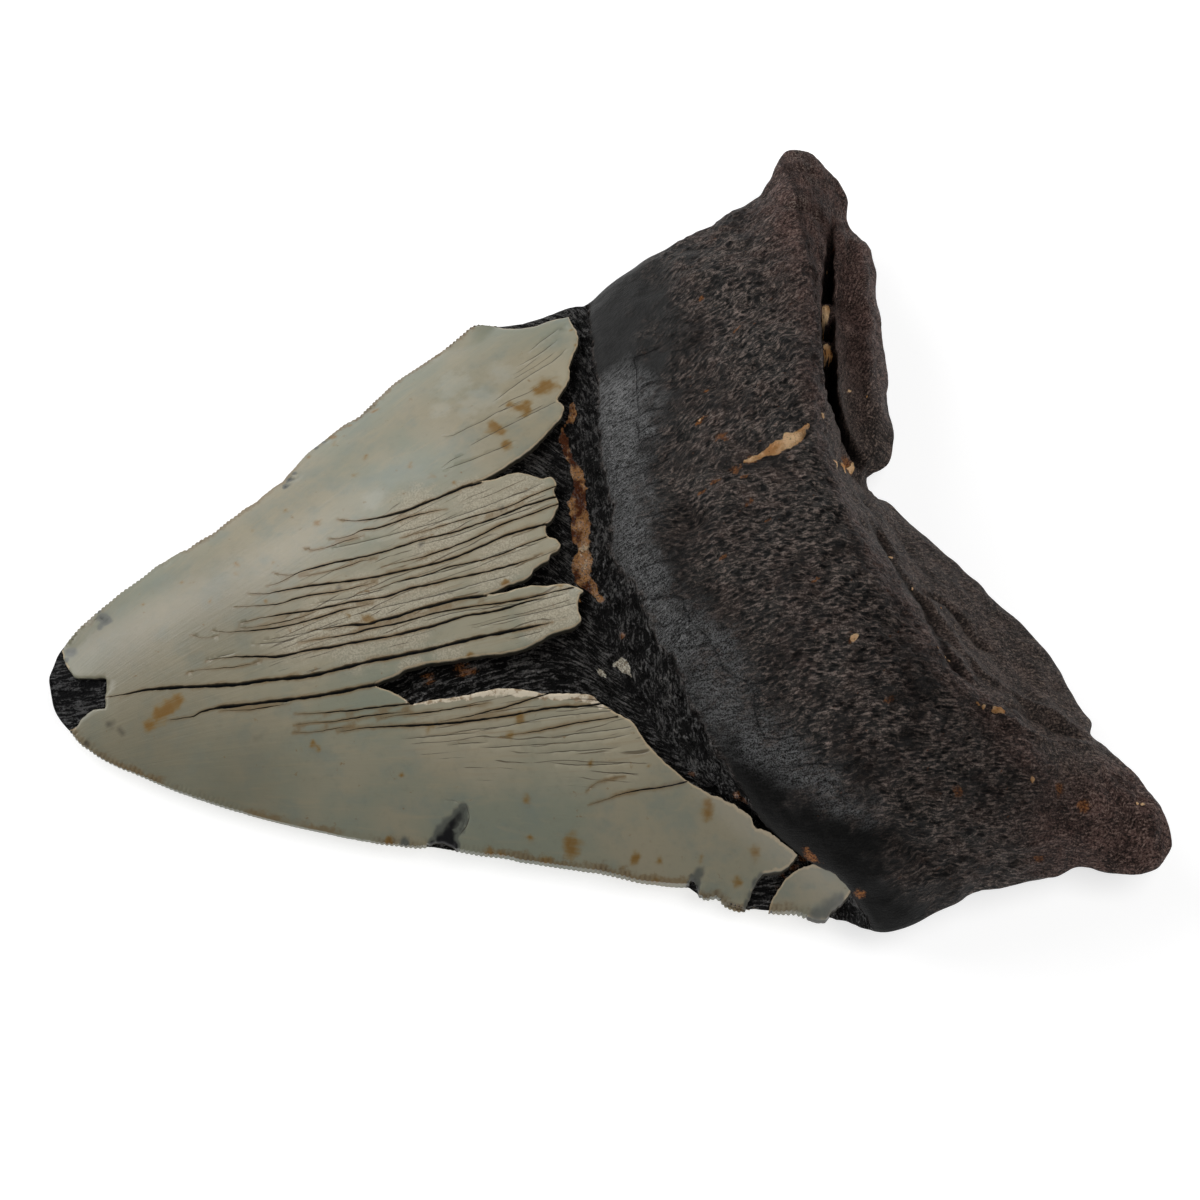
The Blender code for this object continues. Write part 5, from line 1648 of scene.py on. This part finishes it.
def enamel_material():
    s = Shader("fossil_enamel")
    zone = {key: s.attribute(key) for key in (
        "striated", "matte", "halo", "aged", "painted_sheen", "stain", "edge_off", "break_off", "lit_lip", "dirty", "cut",
        "thin", "speck", "hair", "crack", "wall")}
    broad, cloud = s.noise(20, 3, 0.5, 0.5), s.noise(5, 4, 0.6)
    grit, mottle = s.noise(0.26, 3, 0.65), s.noise(1.2, 4, 0.65)
    streaks = s.noise((13, 0.7, 3), 4, 0.65, 0.2, "fan")
    waver = s.noise((24, 5, 3), 3, 0.5, 0.0, "fan")
    broken_off = s.noise((9, 1.1, 3), 2, 0.5, 0.0, "fan")
    tints = s.noise((7, 1.3, 3), 4, 0.6, 0.4, "fan")
    lined = s.math("PINGPONG", s.total((s.height_of(s.place((1, LINE_PITCH, 1), "fan")), 1), (waver, 5)), 0.5)

    on_line = s.times(s.step(lined, 0.43, 0.465), s.step(broken_off, 0.46, 0.56))
    fine_lines = s.times(on_line, s.step(s.total((zone["striated"], 1), (cloud, 0.9)), 0.85, 1.15))
    bluish = s.times(s.step(cloud, 0.45, 0.7, 0, 0.55), s.math("SUBTRACT", 1.0, zone["striated"], True))
    pale = s.step(s.total((zone["matte"], 1), (mottle, 1.0), (cloud, 0.8)), 1.1, 1.8)
    halo = s.total((zone["halo"], 0.7), (tints, 0.9), (mottle, 0.6))
    painted_sheen = s.step(s.total((zone["painted_sheen"], 1), (mottle, 0.9), (cloud, 0.6)), 1.1, 1.8, 0, 0.22)
    brown_flecks = s.step(s.noise(1.5, 4, 0.65), 0.65, 0.74, 0, 0.65)
    stain = s.total((zone["stain"], 1), (mottle, 0.7), (streaks, 0.9))
    # painted highlight along the broken edges' rims
    rim = s.step(s.total((zone["break_off"], 1), (mottle, -0.5)), 0.04, -0.14)
    lit_lip = s.step(s.total((zone["lit_lip"], 1), (mottle, 1.0), (grit, 0.3)), 1.0, 1.45)
    worn = s.math("MAXIMUM", s.step(s.total((broad, 1), (cloud, 0.7)), 0.75, 1.0, 0.15, 0.8), zone["dirty"])
    edge = s.step(s.total((zone["edge_off"], 1), (mottle, -2.2)), -0.2, -0.9, 0, 0.65)
    dirt = s.times(zone["cut"], s.step(mottle, 0.42, 0.6, 0.15, 0.9))
    thin = s.total((zone["thin"], 1), (mottle, 0.16), (streaks, 0.12))
    colour = s.coated(
        s.mix(s.step(broad, 0.36, 0.64), (0.2, 0.21, 0.158), (0.262, 0.235, 0.165)),
        (bluish, (0.165, 0.19, 0.162)),
        (s.times(zone["striated"], 0.7), (0.31, 0.277, 0.198)),  # paler among the cracks
        (s.step(tints, 0.5, 0.72, 0, 0.4), (0.29, 0.25, 0.165)),  # tan streaks
        (s.step(mottle, 0.5, 0.3, 0, 0.14), (0.13, 0.125, 0.095)),  # dark mottling
        (s.times(pale, 0.7), s.mix(s.step(grit, 0.4, 0.6), (0.25, 0.218, 0.155), (0.4, 0.36, 0.27))),
        (s.times(s.step(streaks, 0.54, 0.7, 0, 0.4), zone["striated"]), (0.22, 0.155, 0.085)),  # brown streaks
        (s.times(fine_lines, 0.75), (0.075, 0.055, 0.032)),
        (s.step(halo, 0.95, 1.6, 0, 0.75), (0.16, 0.1, 0.04)),
        (s.times(zone["aged"], 0.5), (0.148, 0.134, 0.09)),
        # painted sheen: whitish clouds on the upper plate
        (painted_sheen, (0.4, 0.41, 0.37)),
        (brown_flecks, (0.17, 0.095, 0.03)),
        (s.step(stain, 0.95, 1.7, 0, 0.8), (0.2, 0.13, 0.045)),
        (s.step(stain, 1.35, 1.9, 0, 0.85), (0.17, 0.085, 0.016)),
        # painted highlight along the broken edges' rims
        (s.times(rim, 0.75), (0.42, 0.33, 0.21)),
        # painted highlight on the lower plate's rounded lip
        (s.times(lit_lip, 0.8), s.mix(s.step(mottle, 0.4, 0.54), (0.25, 0.17, 0.1), (0.62, 0.54, 0.42))),
        (s.times(edge, worn), (0.16, 0.1, 0.04)),
        (s.times(dirt, worn), (0.055, 0.03, 0.014)),
        (s.step(thin, 0.2, 0.6, 0, 0.9), (0.085, 0.09, 0.078)),  # dentine seen dimly through the enamel
        (s.step(thin, 0.65, 1.05), (0.006, 0.006, 0.007)),  # and bare
        (s.times(zone["speck"], 0.7), (0.04, 0.035, 0.03)),
        (s.step(zone["hair"], 0.05, 0.7, 0, 0.8), (0.045, 0.036, 0.025)),
        (s.step(zone["crack"], 0.0, 0.25, 0, 0.75), (0.09, 0.07, 0.045)),  # the cracks' sides
        (s.step(zone["crack"], 0.1, 0.5), (0.011, 0.0135, 0.0155)),  # and bottoms
        (s.step(zone["wall"], 0.1, 0.3, 0, 0.9), (0.035, 0.03, 0.023)),
    )
    rough = s.math("ADD", s.total((zone["matte"], 0.22), (mottle, 0.16)), 0.27)
    height = s.total(
        (mottle, 0.3), (s.times(grit, s.math("ADD", zone["matte"], 0.15)), 0.9), (streaks, 0.5),
        (fine_lines, -1.2), (tints, 0.5),
    )
    return s.finish(colour, rough, s.bump(height, 0.05), 0.32)


# ---------------------------------------------------------------- the scene
FLOOR_REACH = 4.0  # metres from the middle to each side
FLOOR_GLOW = 0.71
WORLD_STRENGTH = 0.1


def area_light(name, azimuth, elevation, distance, size, power):
    """A rectangular light that faces the tooth; azimuth 0 is behind the camera and 90 to the right."""
    a, e = math.radians(azimuth), math.radians(elevation)
    out = Vector((math.sin(a) * math.cos(e), -math.cos(a) * math.cos(e), math.sin(e)))
    light = bpy.data.lights.new(name, "AREA")
    light.shape = "RECTANGLE"
    light.size, light.size_y = size
    light.energy = power
    made = linked(name, light)
    made.location = out * distance
    made.rotation_euler = out.to_track_quat("Z", "Y").to_euler()


def build_stage():
    camera_data = bpy.data.cameras.new("camera")
    camera_data.lens = LENS
    camera_data.sensor_width = SENSOR
    camera = linked("camera", camera_data)
    camera.location = Vector(to_world(EYE))
    camera.rotation_euler = Vector(BACK).to_track_quat("Z", "Y").to_euler()
    bpy.context.scene.camera = camera
    bpy.context.scene.view_settings.view_transform = "Standard"

    floor_mesh = bpy.data.meshes.new("floor")
    corners = [(x * FLOOR_REACH, y * FLOOR_REACH, 0) for x, y in ((-1, -1), (1, -1), (1, 1), (-1, 1))]
    floor_mesh.from_pydata(corners, [], [(0, 1, 2, 3)])
    floor = linked("floor", floor_mesh)
    paint = bpy.data.materials.new("floor")
    paint.use_nodes = True
    for key, value in (
        ("Base Color", (0.5, 0.5, 0.5, 1)), ("Emission Color", (1, 1, 1, 1)),
        ("Emission Strength", FLOOR_GLOW), ("Roughness", 0.9), ("Specular IOR Level", 0.0),
    ):
        paint.node_tree.nodes["Principled BSDF"].inputs[key].default_value = value
    floor_mesh.materials.append(paint)

    world = bpy.data.worlds.new("studio")
    world.use_nodes = True
    background = world.node_tree.nodes["Background"]
    background.inputs["Color"].default_value = (1, 1, 1, 1)
    background.inputs["Strength"].default_value = WORLD_STRENGTH
    bpy.context.scene.world = world
    area_light("key", 224, 30, 1.0, (0.95, 0.42), 9)
    area_light("top", 62, 64, 1.1, (0.8, 0.8), 6)


body = build_body()
body.data.materials.append(body_material())
lingual_enamel = build_lingual_enamel()
labial_enamel = build_labial_enamel()
enamel = enamel_material()
for plate in (lingual_enamel, labial_enamel):
    plate.data.materials.append(enamel)
for piece in (body, lingual_enamel, labial_enamel):
    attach(piece, "root")
    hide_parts("tooth")
build_stage()
